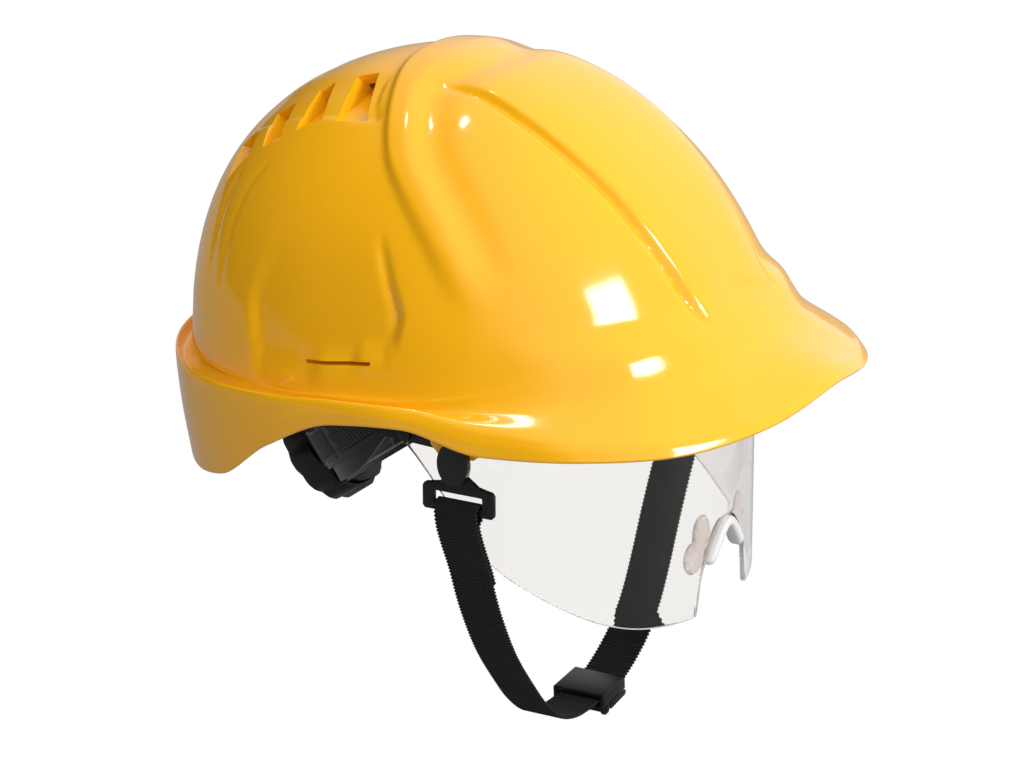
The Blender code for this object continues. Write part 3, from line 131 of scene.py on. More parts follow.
def bump(tree, shader, height, strength, distance):
    node = add(tree, "ShaderNodeBump", Height=height, Strength=strength, Distance=distance)
    fill(tree, shader, Normal=node.outputs["Normal"])


def tint(rgb, factor):
    return tuple(min(1.0, c * factor) for c in rgb)


def mottle(tree, source, rgb, low, high):
    """The colour varied between two strengths of itself."""
    return ramp(tree, source, (0.3, tint(rgb, low)), (0.7, tint(rgb, high)))


def mix_surface(tree, factor, first, second):
    mix = add(tree, "ShaderNodeMixShader", factor, first, second)
    fill(tree, tree.nodes["Material Output"], Surface=mix.outputs["Shader"])


def plastic(name, rgb, rough, grain=0.0, relief=0.0, vary=0.2, coat=0.0, wide=14.0):
    """Moulded plastic: fine grain in the height, broad patches (scale `wide`) in gloss and tint."""
    material, tree, shader, place = new_material(name)
    patches = noise(tree, place, scale=wide, detail=4.0)
    gloss = noise(tree, place, scale=wide * 4, detail=5.0)
    fill(tree, shader,
         Base_Color=mottle(tree, patches, rgb, 1 - vary, 1 + vary),
         Roughness=spread(tree, gloss, rough * 0.85, rough * 1.2),
         IOR=1.5,
         Specular_IOR_Level=0.5 if max(rgb) > 0.2 else 0.32,
         Coat_Weight=coat,
         Coat_Roughness=0.06)
    if relief:
        fine = noise(tree, place, scale=grain, detail=2.0)
        bump(tree, shader, fine, strength=relief, distance=0.0003)
    return material


def webbing(name, rgb, rough, pitch, cross_pitch=0.62):
    """Woven polyester: yarn rows both ways (pitches in mm), some fuzz, and colour that follows the
    weave height: painted shade in the valleys, painted highlight on the yarn crowns.
    """
    material, tree, shader, place = new_material(name)
    uv = add(tree, "ShaderNodeUVMap").outputs["UV"]
    split = add(tree, "ShaderNodeSeparateXYZ", Vector=uv)

    def rows(axis, spacing):
        angle = calculate(tree, "MULTIPLY", split.outputs[axis], 2 * math.pi / spacing)
        return calculate(tree, "SINE", angle)

    weave = calculate(tree, "MULTIPLY", rows("X", pitch), rows("Y", cross_pitch))
    fuzz = noise(tree, place, scale=2600.0, rough=0.7)
    height = spread(tree, calculate(tree, "ADD", weave, fuzz), 0.0, 0.6)
    # the colour follows the weave height: painted shade in the low valleys between yarns, painted
    # highlight on the raised crowns
    painted_weave_light = (0.05, tint(rgb, 0.55)), (0.5, rgb), (0.95, tint(rgb, 1.7))
    fill(tree, shader,
         Base_Color=ramp(tree, height, *painted_weave_light),
         Roughness=spread(tree, fuzz, rough - 0.08, rough + 0.08),
         Sheen_Weight=0.06,
         Sheen_Roughness=0.4,
         Specular_IOR_Level=0.28)
    bump(tree, shader, height, strength=0.5, distance=0.0002)
    return material


def cloth(name, rgb, rough):
    """Brushed knit over foam: a cell pattern for the loops and a soft mottled colour."""
    material, tree, shader, place = new_material(name)
    loops = add(tree, "ShaderNodeTexVoronoi", Vector=place, Scale=1500.0)
    patches = noise(tree, place, scale=60.0, detail=5.0, rough=0.65)
    fill(tree, shader,
         Base_Color=mottle(tree, patches, rgb, 0.72, 1.35),
         Roughness=spread(tree, patches, rough - 0.06, rough + 0.05),
         Sheen_Weight=0.5,
         Sheen_Roughness=0.5,
         Specular_IOR_Level=0.2)
    bump(tree, shader, loops.outputs["Distance"], strength=0.4, distance=0.00025)
    return material


def metal(name, rgb, rough):
    material, tree, shader, place = new_material(name)
    patches = noise(tree, place, scale=300.0, detail=4.0)
    fill(tree, shader,
         Base_Color=mottle(tree, patches, rgb, 0.88, 1.08),
         Roughness=spread(tree, patches, rough * 0.8, rough * 1.3),
         Metallic=1.0)
    bump(tree, shader, noise(tree, place, scale=1400.0), strength=0.05, distance=0.0001)
    return material


def clear(name, rgb, rough, ior, haze):
    """Clear sheet that bends light for the eye and lets lamps through."""
    material, tree, shader, place = new_material(name)
    patches = noise(tree, place, scale=26.0, detail=4.0)
    fill(tree, shader,
         Base_Color=mottle(tree, patches, rgb, 0.985, 1.0),
         Roughness=spread(tree, patches, rough, rough + haze),
         Transmission_Weight=1.0,
         IOR=ior)
    path = add(tree, "ShaderNodeLightPath").outputs
    through = add(tree, "ShaderNodeBsdfTransparent", Color=(*tint(rgb, 0.97), 1))
    # light that has been trapped between the faces for several turns leaves at the edge
    trapped = calculate(tree, "GREATER_THAN", path["Transmission Depth"], 4.5)
    passes = calculate(tree, "MAXIMUM", path["Is Shadow Ray"], trapped)
    mix_surface(tree, passes, shader.outputs["BSDF"], through.outputs["BSDF"])
    return material


def soft_clear(name, rgb):
    material, tree, shader, place = new_material(name)
    patches = noise(tree, place, scale=80.0)
    fill(tree, shader,
         Base_Color=mottle(tree, patches, rgb, 0.95, 1.0),
         Roughness=spread(tree, patches, 0.22, 0.34),
         Transmission_Weight=0.55,
         Subsurface_Weight=0.3,
         Subsurface_Radius=(0.004, 0.003, 0.003),
         IOR=1.45)
    return material


YELLOW = plastic("shell_yellow_gloss", rgb=(0.950, 0.455, 0.006), rough=0.12, vary=0.015,
                 coat=0.25, wide=9.0)
BLACK = plastic("black_satin_plastic", rgb=(0.006, 0.006, 0.007), rough=0.34, grain=1100.0,
                relief=0.10)
BLACK_GLOSS = plastic("black_gloss_plastic_v", rgb=(0.003, 0.003, 0.0035), rough=0.10,
                      grain=700.0, relief=0.02, coat=0.2)
CHARCOAL = plastic("charcoal_plastic", rgb=(0.0055, 0.0055, 0.006), rough=0.33, grain=1000.0,
                   relief=0.14)
WHITE = plastic("white_trim_tpe", rgb=(0.83, 0.83, 0.85), rough=0.42, grain=900.0, relief=0.06,
                vary=0.04)
STEEL = metal("pin_steel", rgb=(0.60, 0.61, 0.63), rough=0.28)
# steel darkened as painted shade of the dimple that the buckle pin sits in
DIMPLE_SHADE_STEEL = metal("pin_steel_dimple_shade", rgb=(0.045, 0.045, 0.05), rough=0.34)
CHIN_WEB = webbing("chin_webbing", rgb=(0.0075, 0.0075, 0.008), rough=0.66,
                   pitch=CHIN_WEAVE["pitch"])
CRADLE_WEB = webbing("cradle_webbing", rgb=(0.016, 0.016, 0.018), rough=0.80,
                     pitch=CRADLE_WEAVE["pitch"])
CLOTH = cloth("pad_cloth", rgb=(0.030, 0.030, 0.034), rough=0.88)
THREAD = plastic("stitch_thread", rgb=(0.030, 0.030, 0.033), rough=0.6, grain=3000.0, relief=0.3)
LENS = clear("clear_visor", rgb=(0.890, 0.872, 0.850), rough=0.01, ior=1.28, haze=0.02)
LENS_EDGE = soft_clear("visor_cut_edge", rgb=(0.90, 0.90, 0.89))
SOFT = soft_clear("nose_pad_tpe", rgb=(0.86, 0.80, 0.79))

# ================================================================ geometry helpers


def to_world(points):
    return (np.asarray(points, float) - np.array([0.0, POLE_Y, 0.0])) * MM


def mesh_object(name, verts, faces, material=None, smooth=None, uv=None, weld=True):
    """Points in mm of the drawing frame become a mesh in metres in the shared frame."""
    mesh = bpy.data.meshes.new(name)
    mesh.from_pydata(to_world(verts).tolist(), [], [list(f) for f in faces])
    mesh.update()
    if uv is not None:
        layer = mesh.uv_layers.new(name="UVMap")
        index = np.empty(len(mesh.loops), np.int32)
        mesh.loops.foreach_get("vertex_index", index)
        layer.data.foreach_set("uv", np.asarray(uv, np.float32)[index].reshape(-1))
    bm = bmesh.new()
    bm.from_mesh(mesh)
    if weld:
        bmesh.ops.remove_doubles(bm, verts=bm.verts, dist=1e-7)
    bmesh.ops.recalc_face_normals(bm, faces=bm.faces)
    if bm.calc_volume(signed=True) < 0:
        bmesh.ops.reverse_faces(bm, faces=bm.faces)
    bm.to_mesh(mesh)
    bm.free()
    if material:
        mesh.materials.append(material)
    ob = bpy.data.objects.new(name, mesh)
    bpy.context.scene.collection.objects.link(ob)
    if smooth is not None:
        shade(ob, smooth)
    return ob


def shade(ob, angle):
    """Smooth shading with sharp edges above an angle in degrees."""
    for p in ob.data.polygons:
        p.use_smooth = True
    ob.data.set_sharp_from_angle(angle=math.radians(angle))


def attach(ob, body, slot, *nodes):
    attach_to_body(ob, body)
    if nodes:
        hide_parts(*nodes)


def ring_faces(n, m):
    """Quads between n closed rings of m points."""
    return [(i * m + k, i * m + (k + 1) % m, (i + 1) * m + (k + 1) % m, (i + 1) * m + k)
            for i in range(n - 1) for k in range(m)]


def tube_faces(n, m):
    """The same with both ends closed."""
    caps = [tuple(range(m))[::-1], tuple((n - 1) * m + k for k in range(m))]
    return ring_faces(n, m) + caps


def loft(name, rings, material, smooth=40, uv=None):
    rings = np.asarray(rings, float)
    return mesh_object(name, rings.reshape(-1, 3), tube_faces(*rings.shape[:2]), material, smooth,
                       uv, weld=uv is None)


def prism(outline, z0, z1, at):
    """Boolean tool: an outline drawn out from z0 to z1, then placed by a matrix."""
    n = len(outline)
    verts = [tuple(at @ Vector((x, y, z))) for z in (z0, z1) for x, y in outline]
    faces = [tuple(range(n))[::-1], tuple(range(n, 2 * n))]
    faces += [(i, (i + 1) % n, n + (i + 1) % n, n + i) for i in range(n)]
    return mesh_object("tool", verts, faces)


def box(low, high, at):
    outline = [(low[0], low[1]), (high[0], low[1]), (high[0], high[1]), (low[0], high[1])]
    return prism(outline, low[2], high[2], at)


def hexahedron(top, bottom):
    """Boolean tool: a solid between two quads with the same order of corners."""
    verts = [tuple(p) for p in top + bottom]
    faces = [(0, 1, 2, 3), (7, 6, 5, 4)]
    faces += [(i, 4 + i, 4 + (i + 1) % 4, (i + 1) % 4) for i in range(4)]
    return mesh_object("tool", verts, faces)


def circle(r, n, cx, cy):
    angles = [2 * math.pi * i / n for i in range(n)]
    return [(cx + r * math.cos(a), cy + r * math.sin(a)) for a in angles]


def frame_at(origin, x_axis, z_axis):
    z = Vector(z_axis).normalized()
    x = Vector(x_axis)
    x = (x - z * x.dot(z)).normalized()
    matrix = Matrix((x, z.cross(x), z)).transposed().to_4x4()
    matrix.translation = Vector(origin)
    return matrix


def side_plane(side):
    """Takes drawn (x, y, z) to y, z and the distance out to one side."""
    return Matrix(((0, 0, side, 0), (1, 0, 0, 0), (0, 1, 0, 0), (0, 0, 0, 1)))


def boolean(target, tools):
    """Applies (object, operation) pairs in order and removes the tools."""
    material = target.data.materials[0]
    for solver in ("MANIFOLD", "EXACT"):
        for tool, operation in tools:
            cut = target.modifiers.new("cut", "BOOLEAN")
            cut.operation = operation
            cut.solver = solver
            cut.object = tool
        bpy.context.view_layer.update()
        graph = bpy.context.evaluated_depsgraph_get()
        made = bpy.data.meshes.new_from_object(target.evaluated_get(graph))
        target.modifiers.clear()
        # the fast solver can return next to nothing; the exact one then takes over
        if len(made.polygons) >= 20:
            break
    target.data = made
    made.materials.clear()
    made.materials.append(material)
    made.polygons.foreach_set("material_index", np.zeros(len(made.polygons), np.int32))
    for tool, _ in tools:
        bpy.data.objects.remove(tool, do_unlink=True)


def catmull(controls, per):
    """Catmull-Rom line through the controls, `per` points to a span."""
    c = [np.asarray(p, float) for p in controls]
    c = [2 * c[0] - c[1]] + c + [2 * c[-1] - c[-2]]
    out = []
    for a, b, d, e in zip(c, c[1:], c[2:], c[3:]):
        for k in range(per):
            t = k / per
            out.append(0.5 * (2 * b + (d - a) * t + (2 * a - 5 * b + 4 * d - e) * t * t
                              + (3 * b - a - 3 * d + e) * t ** 3))
    out.append(c[-2])
    return np.array(out)


def run_lengths(points):
    steps = np.linalg.norm(np.diff(points, axis=0), axis=1)
    return np.concatenate([[0], np.cumsum(steps)])


def sample(at, stations, values):
    """Each column of the values interpolated at new stations."""
    return np.stack([np.interp(at, stations, v) for v in np.asarray(values, float).T], 1)


def even(points, step):
    """The same line with evenly spaced points, and their distances along it."""
    points = np.asarray(points, float)
    stations = run_lengths(points)
    count = max(2, int(round(stations[-1] / step)) + 1)
    at = np.linspace(0, stations[-1], count)
    return sample(at, stations, points), at


def ease(line, times):
    """Softens the corners of a line in place."""
    for _ in range(times):
        line[1:-1] = (line[:-2] + 2 * line[1:-1] + line[2:]) / 4


def smoothstep(x, a, b):
    t = np.clip((np.asarray(x, float) - a) / (b - a), 0, 1)
    return t * t * (3 - 2 * t)


def fall(x, a, b):
    return 1 - smoothstep(x, a, b)


def bell(x, width):
    return np.exp(-(x / width) ** 2)


def unit(v):
    v = np.asarray(v, float)
    return v / np.maximum(np.linalg.norm(v, axis=-1, keepdims=True), 1e-9)


def facing(normal, reference):
    """The normal, flipped if it points away from the reference."""
    return -normal if normal.dot(reference) < 0 else normal


def tangent(path, i):
    return (path[min(i + 1, len(path) - 1)] - path[max(i - 1, 0)]).normalized()


# ================================================================ shell profile

WALL = 2.6
# plan of the dome: half lengths and the exponent of its superellipse
DOME_FRONT, DOME_REAR, DOME_SIDE, DOME_PLAN_EXP = 126.0, 112.0, 106.0, 2.25
# upright profile of the dome at the front, side and rear
DOME_HEIGHT = (121.2, 126.0, 121.7)
DOME_CROWN_EXP = (2.09, 2.20, 2.12)
DOME_WALL_EXP = (0.67, 0.50, 0.343)
# radii (_r) and depths (_d) of the rim lines every 15 degrees, from the front to the rear
STATION_STEP = 15
RIM = {
    "dome_foot_d": (78, 80, 85, 93, 101, 106, 108, 111, 112, 113, 114, 114, 114),
    "brow_r": (120, 121, 121, 117, 112, 108.5, 107.5, 108, 110, 112, 113, 114, 114),
    "brow_d": (86, 87, 90, 97, 104, 108.5, 110.5, 113, 114, 115, 116, 116, 116),
    "gutter_r": (127, 128, 127, 121, 114, 109.5, 108.5, 110, 113, 116, 117, 117, 117),
    "gutter_d": (96, 97, 100, 105, 109, 112, 113.5, 116, 119, 121, 122, 122, 122),
    "lip_r": (149, 149, 146, 135, 122, 114, 113, 116, 119, 120.5, 120.5, 119.5, 119),
    "lip_d": (105, 110, 113, 113.5, 112.5, 109, 110, 113, 116, 118, 118, 118, 118),
    "edge_r": (158, 157, 153, 141, 126, 117, 114.5, 116, 117, 116, 115, 114, 113),
    "edge_d": (110.5, 115.8, 120, 121.5, 122.7, 116.3, 119, 133, 153, 159, 160, 160, 160),
}
COLUMNS = 528
DOME_ROWS, RIM_PER, INNER_DOME_ROWS, INNER_RIM_PER = 104, 7, 22, 4
DOME_MIDDLE = np.array([0, POLE_Y, CROWN_Z - 95.0])


def rim_value(key, azimuth):
    """A rim value at an azimuth in degrees: a monotone cubic through the stations."""
    values = RIM[key]
    last = len(values) - 1
    rises = [(b - a) / STATION_STEP for a, b in zip(values, values[1:])]
    slopes = [0.0] * (last + 1)
    for i in range(1, last):
        if rises[i - 1] * rises[i] > 0:
            slopes[i] = 2 / (1 / rises[i - 1] + 1 / rises[i])
    i = min(last - 1, int(abs(azimuth) // STATION_STEP))
    t = (abs(azimuth) - i * STATION_STEP) / STATION_STEP
    return ((1 + 2 * t) * (1 - t) ** 2 * values[i] + t * (1 - t) ** 2 * STATION_STEP * slopes[i]
            + t * t * (3 - 2 * t) * values[i + 1] + t * t * (t - 1) * STATION_STEP * slopes[i + 1])


def by_azimuth(phi, values):
    front, side, rear = values
    c = math.cos(phi)
    return side + ((front if c > 0 else rear) - side) * c * c


def plan_radius(phi):
    c, s = abs(math.cos(phi)), abs(math.sin(phi))
    a = DOME_FRONT if math.cos(phi) > 0 else DOME_REAR
    e = DOME_PLAN_EXP
    return ((c / a) ** e + (s / DOME_SIDE) ** e) ** (-1 / e)


def dome_depth(phi, rho):
    """Depth of the dome at a fraction rho of its plan radius."""
    rest = np.maximum(0.0, 1 - rho ** by_azimuth(phi, DOME_CROWN_EXP))
    return by_azimuth(phi, DOME_HEIGHT) * (1 - rest ** by_azimuth(phi, DOME_WALL_EXP))


def dome_rho(phi, depth):
    rest = max(0.0, 1 - depth / by_azimuth(phi, DOME_HEIGHT))
    power = 1 / by_azimuth(phi, DOME_WALL_EXP)
    return (1 - rest ** power) ** (1 / by_azimuth(phi, DOME_CROWN_EXP))


def dome_inner_radius(phi, depth):
    here = plan_radius(phi) * dome_rho(phi, depth)
    below = plan_radius(phi) * dome_rho(phi, depth + 1)
    return here - WALL * math.sqrt(1 + (below - here) ** 2)


def on_shell(phi, r, depth):
    return Vector((-r * math.sin(phi), POLE_Y - r * math.cos(phi), CROWN_Z - depth))


def offset_line(points, distance):
    """A line of (radius, depth) points moved in from the outer face."""
    out = []
    for i, (r, d) in enumerate(points):
        a, b = points[max(0, i - 1)], points[min(len(points) - 1, i + 1)]
        tr, td = b[0] - a[0], b[1] - a[1]
        n = math.hypot(tr, td)
        out.append((r - distance * td / n, d + distance * tr / n))
    return out


def column(azimuth):
    """(radius, depth) lines at an azimuth in degrees: the outer face down from the crown, the
    bead round the lip edge, and the inner face back up."""
    phi = math.radians(azimuth)
    rho_foot = dome_rho(phi, rim_value("dome_foot_d", azimuth))

    def dome_line(fractions):
        radii = plan_radius(phi) * fractions * rho_foot
        return np.stack([radii, dome_depth(phi, fractions * rho_foot)], 1)

    dome = dome_line(np.linspace(1.0 / DOME_ROWS, 1.0, DOME_ROWS))
    brow, gutter, lip, edge = [
        (rim_value(key + "_r", azimuth), rim_value(key + "_d", azimuth))
        for key in ("brow", "gutter", "lip", "edge")]
    # halfway from lip to edge, bulging a little outwards and up
    mid = ((lip[0] + edge[0]) / 2 + 0.9, (lip[1] + edge[1]) / 2 - 0.4)
    foot = [tuple(p) for p in dome_line(np.array((0.95, 1.0)))]
    rim_line = foot + [brow, gutter, lip, mid, edge]
    outer_rim = catmull(rim_line, RIM_PER)[RIM_PER + 1:]

    # inner face of the rim: an even wall under the peak, a straighter one at the sides and rear
    peak = offset_line(rim_line, WALL)[2:6] + [(edge[0] - 2.7, edge[1] + 0.2)]
    third = (min(lip[0], gutter[0] + 5.0) - 2.8, gutter[1] + 3.1)
    last = (edge[0] - 2.6, edge[1] + 0.2)
    side_wall = [(brow[0] - 2.5, brow[1] + 1.5), (gutter[0] - 1.2, gutter[1] + 2.7), third,
                 ((third[0] + last[0]) / 2, (third[1] + last[1]) / 2), last]
    k = smoothstep(abs(azimuth), 55, 74)
    inner_rim = [(a[0] * (1 - k) + b[0] * k, a[1] * (1 - k) + b[1] * k)
                 for a, b in zip(peak, side_wall)]

    # the edge is a round bead between the two faces
    a, b = np.array(edge), np.array(inner_rim[-1])
    centre, half = (a + b) / 2, (a - b) / 2
    back = unit(a - np.array(mid))
    back = unit(back - unit(half) * np.dot(back, unit(half)))
    bulge = np.linalg.norm(half) * 0.8
    bead = np.array([centre + half * math.cos(q) + back * bulge * math.sin(q)
                     for q in np.linspace(0, math.pi, 8)[1:-1]])

    base = dome_line(np.linspace(1.0, 0.06, INNER_DOME_ROWS))
    inner = np.array(offset_line([tuple(p) for p in base[::-1]], WALL))[::-1]
    lower = catmull([inner[1], inner[0]] + inner_rim, INNER_RIM_PER)[INNER_RIM_PER + 1:][::-1]
    return np.concatenate([dome, outer_rim]), bead, np.concatenate([lower, inner])


def column_angles():
    """Azimuths of the columns, closer where the surface has its creases and edges."""
    fine = np.linspace(-180, 180, 7201)
    a = np.abs(fine)
    weight = 1 + 1.3 * bell(a - 32, 22) + 0.5 * bell(a - 95, 30)
    total = np.concatenate([[0], np.cumsum((weight[1:] + weight[:-1]) / 2)])
    return np.interp(np.arange(COLUMNS) / COLUMNS * total[-1], total, fine)


# ================================================================ relief of the outer face

CHUNK = 8000  # points measured at a time, to limit memory


def along_line(points, normals, line):
    """Signed distance of surface points from a line, and where along it (0..1) each is nearest."""
    curve, tangents, sign = line
    distance = np.empty(len(points))
    nearest = np.empty(len(points), int)
    for i in range(0, len(points), CHUNK):
        squares = ((points[i:i + CHUNK, None, :] - curve[None]) ** 2).sum(2)
        nearest[i:i + CHUNK] = squares.argmin(1)
        distance[i:i + CHUNK] = np.sqrt(squares.min(1))
    away, t = points - curve[nearest], tangents[nearest]
    side = np.einsum("ij,ij->i", away, np.cross(normals, t))
    along = np.einsum("ij,ij->i", away, t)
    step = np.linalg.norm(np.diff(curve, axis=0), axis=1).mean()
    across = np.sqrt(np.maximum(distance ** 2 - np.clip(along, -step, step) ** 2, 0))
    # close to the line the sideways offset itself is the smooth measure
    k = smoothstep(distance, 3.0, 9.0)
    offset = (1 - k) * side + k * np.sign(side) * across
    run = (nearest + np.clip(along / step, -0.5, 0.5)) / (len(curve) - 1)
    return sign * offset, np.clip(run, 0, 1)


def surface_line(points, positive=None):
    """A smooth line through (x, y, depth) points; offsets are positive on the side of the second
    argument."""
    curve = catmull([(x, y, CROWN_Z - d) for x, y, d in points], 14)
    tangents = unit(np.gradient(curve, axis=0))
    sign = 1.0
    if positive:
        x, y, d = positive
        p = np.array([[x, y, CROWN_Z - d]], float)
        sign = float(np.sign(along_line(p, unit(p - DOME_MIDDLE), (curve, tangents, 1.0))[0][0]))
    return curve, tangents, sign


# (x, y, depth) lines on the wearer's left half; the right half mirrors them
BAND_REAR = surface_line(
    [(0, 37, 1.9), (16, 36, 2.8), (31, 33, 5), (51, 26, 13), (66, 18, 24), (74, 10, 33),
     (85, -9, 51), (89, -22, 66), (91, -36.5, 82)], positive=(50, 12, 12))
CREASE = surface_line(
    [(33.5, 26, 5), (33.4, -2.5, 6.6), (36, -24.5, 14), (36.7, -46, 26), (35, -61, 38),
     (33.6, -74, 51), (31.5, -84, 64), (27.6, -96, 83.5), (25.6, -102, 89)],
    positive=(20, -40, 18))
VENT_BOUND = surface_line(
    [(30, 104, 44), (38.5, 97, 36), (45, 83, 28), (53, 56, 19), (56, 33, 17), (55, 27, 15)],
    positive=(42, 60, 14))
REAR_LINE_A = surface_line(
    [(57, 86, 39.5), (66.5, 91, 57), (78, 89, 85), (84, 84, 101), (90, 78, 114)])
REAR_LINE_B = surface_line([(64, 70, 34), (70, 79, 50), (80, 82, 74), (85, 82, 90)])
# bounds of the side recess, as (stations, values): y over depth, then depth over y
RECESS_FRONT = ((40, 54, 79, 86, 92), (8.5, 6, -6.5, -5.5, -1.5))
RECESS_REAR = ((50, 60, 83, 101, 106), (52, 55.5, 62.5, 58, 50))
RECESS_FOOT = ((-4, 4.6, 19, 33.5, 50, 60), (89.5, 92.4, 98.2, 103.5, 106, 104))
RECESS_TOP = ((0, 9, 28, 46, 60), (52, 50, 46, 49, 52))


# In these, the leading factors are heights in mm, the bounds of smoothstep and fall say where a
# feature comes in and goes out, and `run` is the fraction of the way along a line.


def crown_band(points, normals):
    """Raised band from the crown down the side, crisp behind and soft in front."""
    x, y, _ = points.T
    offset, run = along_line(points, normals, BAND_REAR)
    # far behind the crown axis every point counts as ahead of the line
    offset = np.where(y < POLE_Y + 60, offset, abs(offset))
    wide = 1.0 + 0.9 * fall(x, 6, 45)
    soft = 1.5 + 3.0 * smoothstep(run, 0.45, 0.95)
    height = 2.0 + 0.1 * fall(x, 10, 50)
    rise = height * smoothstep(offset, -soft, soft) * fall(offset, 7.0 * wide, 17.0 * wide)
    trough = 1.1 * bell(offset - 19.0 * wide, 7.0) * (offset > 0)
    return (rise - trough) * fall(run, 0.80, 1.0)


def front_panel(points, normals):
    """Centre panel of the front, raised between its two creases."""
    offset, run = along_line(points, normals, CREASE)
    fade = smoothstep(run, 0.02, 0.16) * fall(run, 0.83, 0.985) * (points[:, 1] < 34)
    panel = 1.6 * smoothstep(offset, -1.7, 1.7) * (1 - 0.35 * smoothstep(offset, 6, 30))
    groove = 1.35 * bell(offset + 1.1, 1.9)
    return fade * (panel - groove) * (np.abs(offset) < 60)


def side_recess(y, depth):
    """Shallow recess in the side, deepest along its front edge."""
    behind = y - np.interp(depth, *RECESS_FRONT)
    ahead = np.interp(depth, *RECESS_REAR) - y
    above = np.interp(y, *RECESS_FOOT) - depth
    below = depth - np.interp(y, *RECESS_TOP)
    # the front edge is soft high up and crisp low down
    crisp = smoothstep(depth, 56, 72)
    front = smoothstep(behind, -1.7, 1.9) * crisp + smoothstep(behind, -5, 7) * (1 - crisp)
    soft = 4.0 - 2.0 * smoothstep(depth, 72, 92)
    floor = (-2.3 * front * smoothstep(ahead, -soft, soft) * smoothstep(above, -1.0, 1.5)
             * smoothstep(below, -2, 46) * (depth < 112))
    groove = (-1.2 * bell(behind - 1.6, 2.1) * smoothstep(depth, 48, 60) * fall(depth, 86, 93)
              * (y < 20))
    return floor + groove


def vent_field(points, normals):
    """Field of the vents, set a little below the side."""
    offset, run = along_line(points, normals, VENT_BOUND)
    return (-0.9 * smoothstep(offset, -1.6, 1.6) * fall(offset, 16, 30)
            * smoothstep(run, 0.02, 0.2) * fall(run, 0.93, 1.0) * (points[:, 1] > 22))


def fine_groove(points, normals, line, deep):
    """Fine line down the rear quarter."""
    offset, run = along_line(points, normals, line)
    return (-deep * bell(offset, 1.25) * smoothstep(run, 0.0, 0.15) * fall(run, 0.85, 1.0)
            * (np.abs(offset) < 12))


def relief(points, normals):
    """How far the moulded surface stands from the plain dome, in mm."""
    normals = normals.copy()
    normals[:, 0] *= np.where(points[:, 0] < 0, -1, 1)
    points = points.copy()
    points[:, 0] = np.abs(points[:, 0])
    x, y, z = points.T
    depth = CROWN_Z - z
    height = crown_band(points, normals)
    height += front_panel(points, normals)
    height += side_recess(y, depth)
    height += vent_field(points, normals)
    height += fine_groove(points, normals, REAR_LINE_A, deep=0.80)
    height += fine_groove(points, normals, REAR_LINE_B, deep=0.60)
    # soft ledge over the root of the peak, and a fuller shoulder beside it
    height += 0.35 * bell(depth - 88.5, 6.0) * smoothstep(-y, 88, 112)
    turn = np.degrees(np.arctan2(x, POLE_Y - y))
    height += (1.5 * smoothstep(depth, 78, 91) * fall(depth, 90, 108) * smoothstep(turn, 8, 20)
               * fall(turn, 44, 60))
    return height


# ================================================================ shell fittings and openings

# azimuth in degrees (positive to the wearer's right) and depth of the cradle sockets
SOCKETS = {"side_R": (95.5, 74.0), "side_L": (-95.5, 74.0),
           "rear_R": (152.0, 82.0), "rear_L": (-152.0, 82.0)}
SOCKET_ABOVE, SOCKET_BELOW = 7.5, 8.0
LUG_Y, LUG_D, LUG_X = -33.0, 122.5, (100.6, 103.2)
BOSS_Y, BOSS_D = 40, 112.5
SLOT_Y, SLOT_D, SLOT_LONG, SLOT_HIGH, SLOT_TILT = 19.0, 99.0, 30.0, 2.8, 8.19
# per vent: depth of the pocket, then (x, y, depth) of its corners in the order crown-side front,
# crown-side rear, outer rear, outer front
VENTS = (
    (8.2, ((29, 43, 5.7), (30.5, 54, 8.4), (56, 50, 20), (56, 33, 17))),
    (8.2, ((31, 62, 11), (35, 69, 15), (57, 67, 26.5), (54, 54, 20))),
    (8.2, ((36.5, 77, 20), (38, 87, 26), (56.5, 82, 35), (58, 71, 29))),
    (7.0, ((41, 90, 31), (43, 99, 41), (56, 99, 53), (55, 86, 38))),
)


def socket_frame(key):
    """At the inner wall: x out through the shell, z up."""
    azimuth, depth = SOCKETS[key]
    phi = math.radians(azimuth)
    a, b = [on_shell(p, dome_inner_radius(p, depth), depth) for p in (phi - 0.03, phi + 0.03)]
    t = b - a
    radial = Vector((-math.sin(phi), -math.cos(phi), 0))
    out = facing(Vector((t.y, -t.x, 0)).normalized(), radial)
    return frame_at(on_shell(phi, dome_inner_radius(phi, depth), depth), out, UP)


def socket_block(key):
    """Block on the inner wall, its back following the wall above and below."""
    azimuth, depth = SOCKETS[key]
    phi = math.radians(azimuth)
    r = dome_inner_radius(phi, depth)
    high = dome_inner_radius(phi, depth - SOCKET_ABOVE) - r
    low = dome_inner_radius(phi, depth + SOCKET_BELOW) - r
    face, bite = -4.6, 0.25
    outline = [(face, -SOCKET_BELOW), (low + bite, -SOCKET_BELOW), (bite, 0.0),
               (high + bite, SOCKET_ABOVE), (min(-3.0, high - 0.4), SOCKET_ABOVE), (face, 5.5)]
    upright = Matrix(((1, 0, 0, 0), (0, 0, -1, 0), (0, 1, 0, 0), (0, 0, 0, 1)))
    return prism(outline, -9.0, 9.0, socket_frame(key) @ upright)


def lug_plate(at):
    """Flat lug below the rim, with chamfered lower corners."""
    top, low = CROWN_Z - 111.8, CROWN_Z - LUG_D
    half, foot, drop = 11, 7.5, 5.2
    outline = [(LUG_Y - half, top), (LUG_Y - half, low - 2.5), (LUG_Y - foot, low - drop),
               (LUG_Y + foot, low - drop), (LUG_Y + half, low - 1.5), (LUG_Y + half, top)]
    return prism(outline, *LUG_X, at)


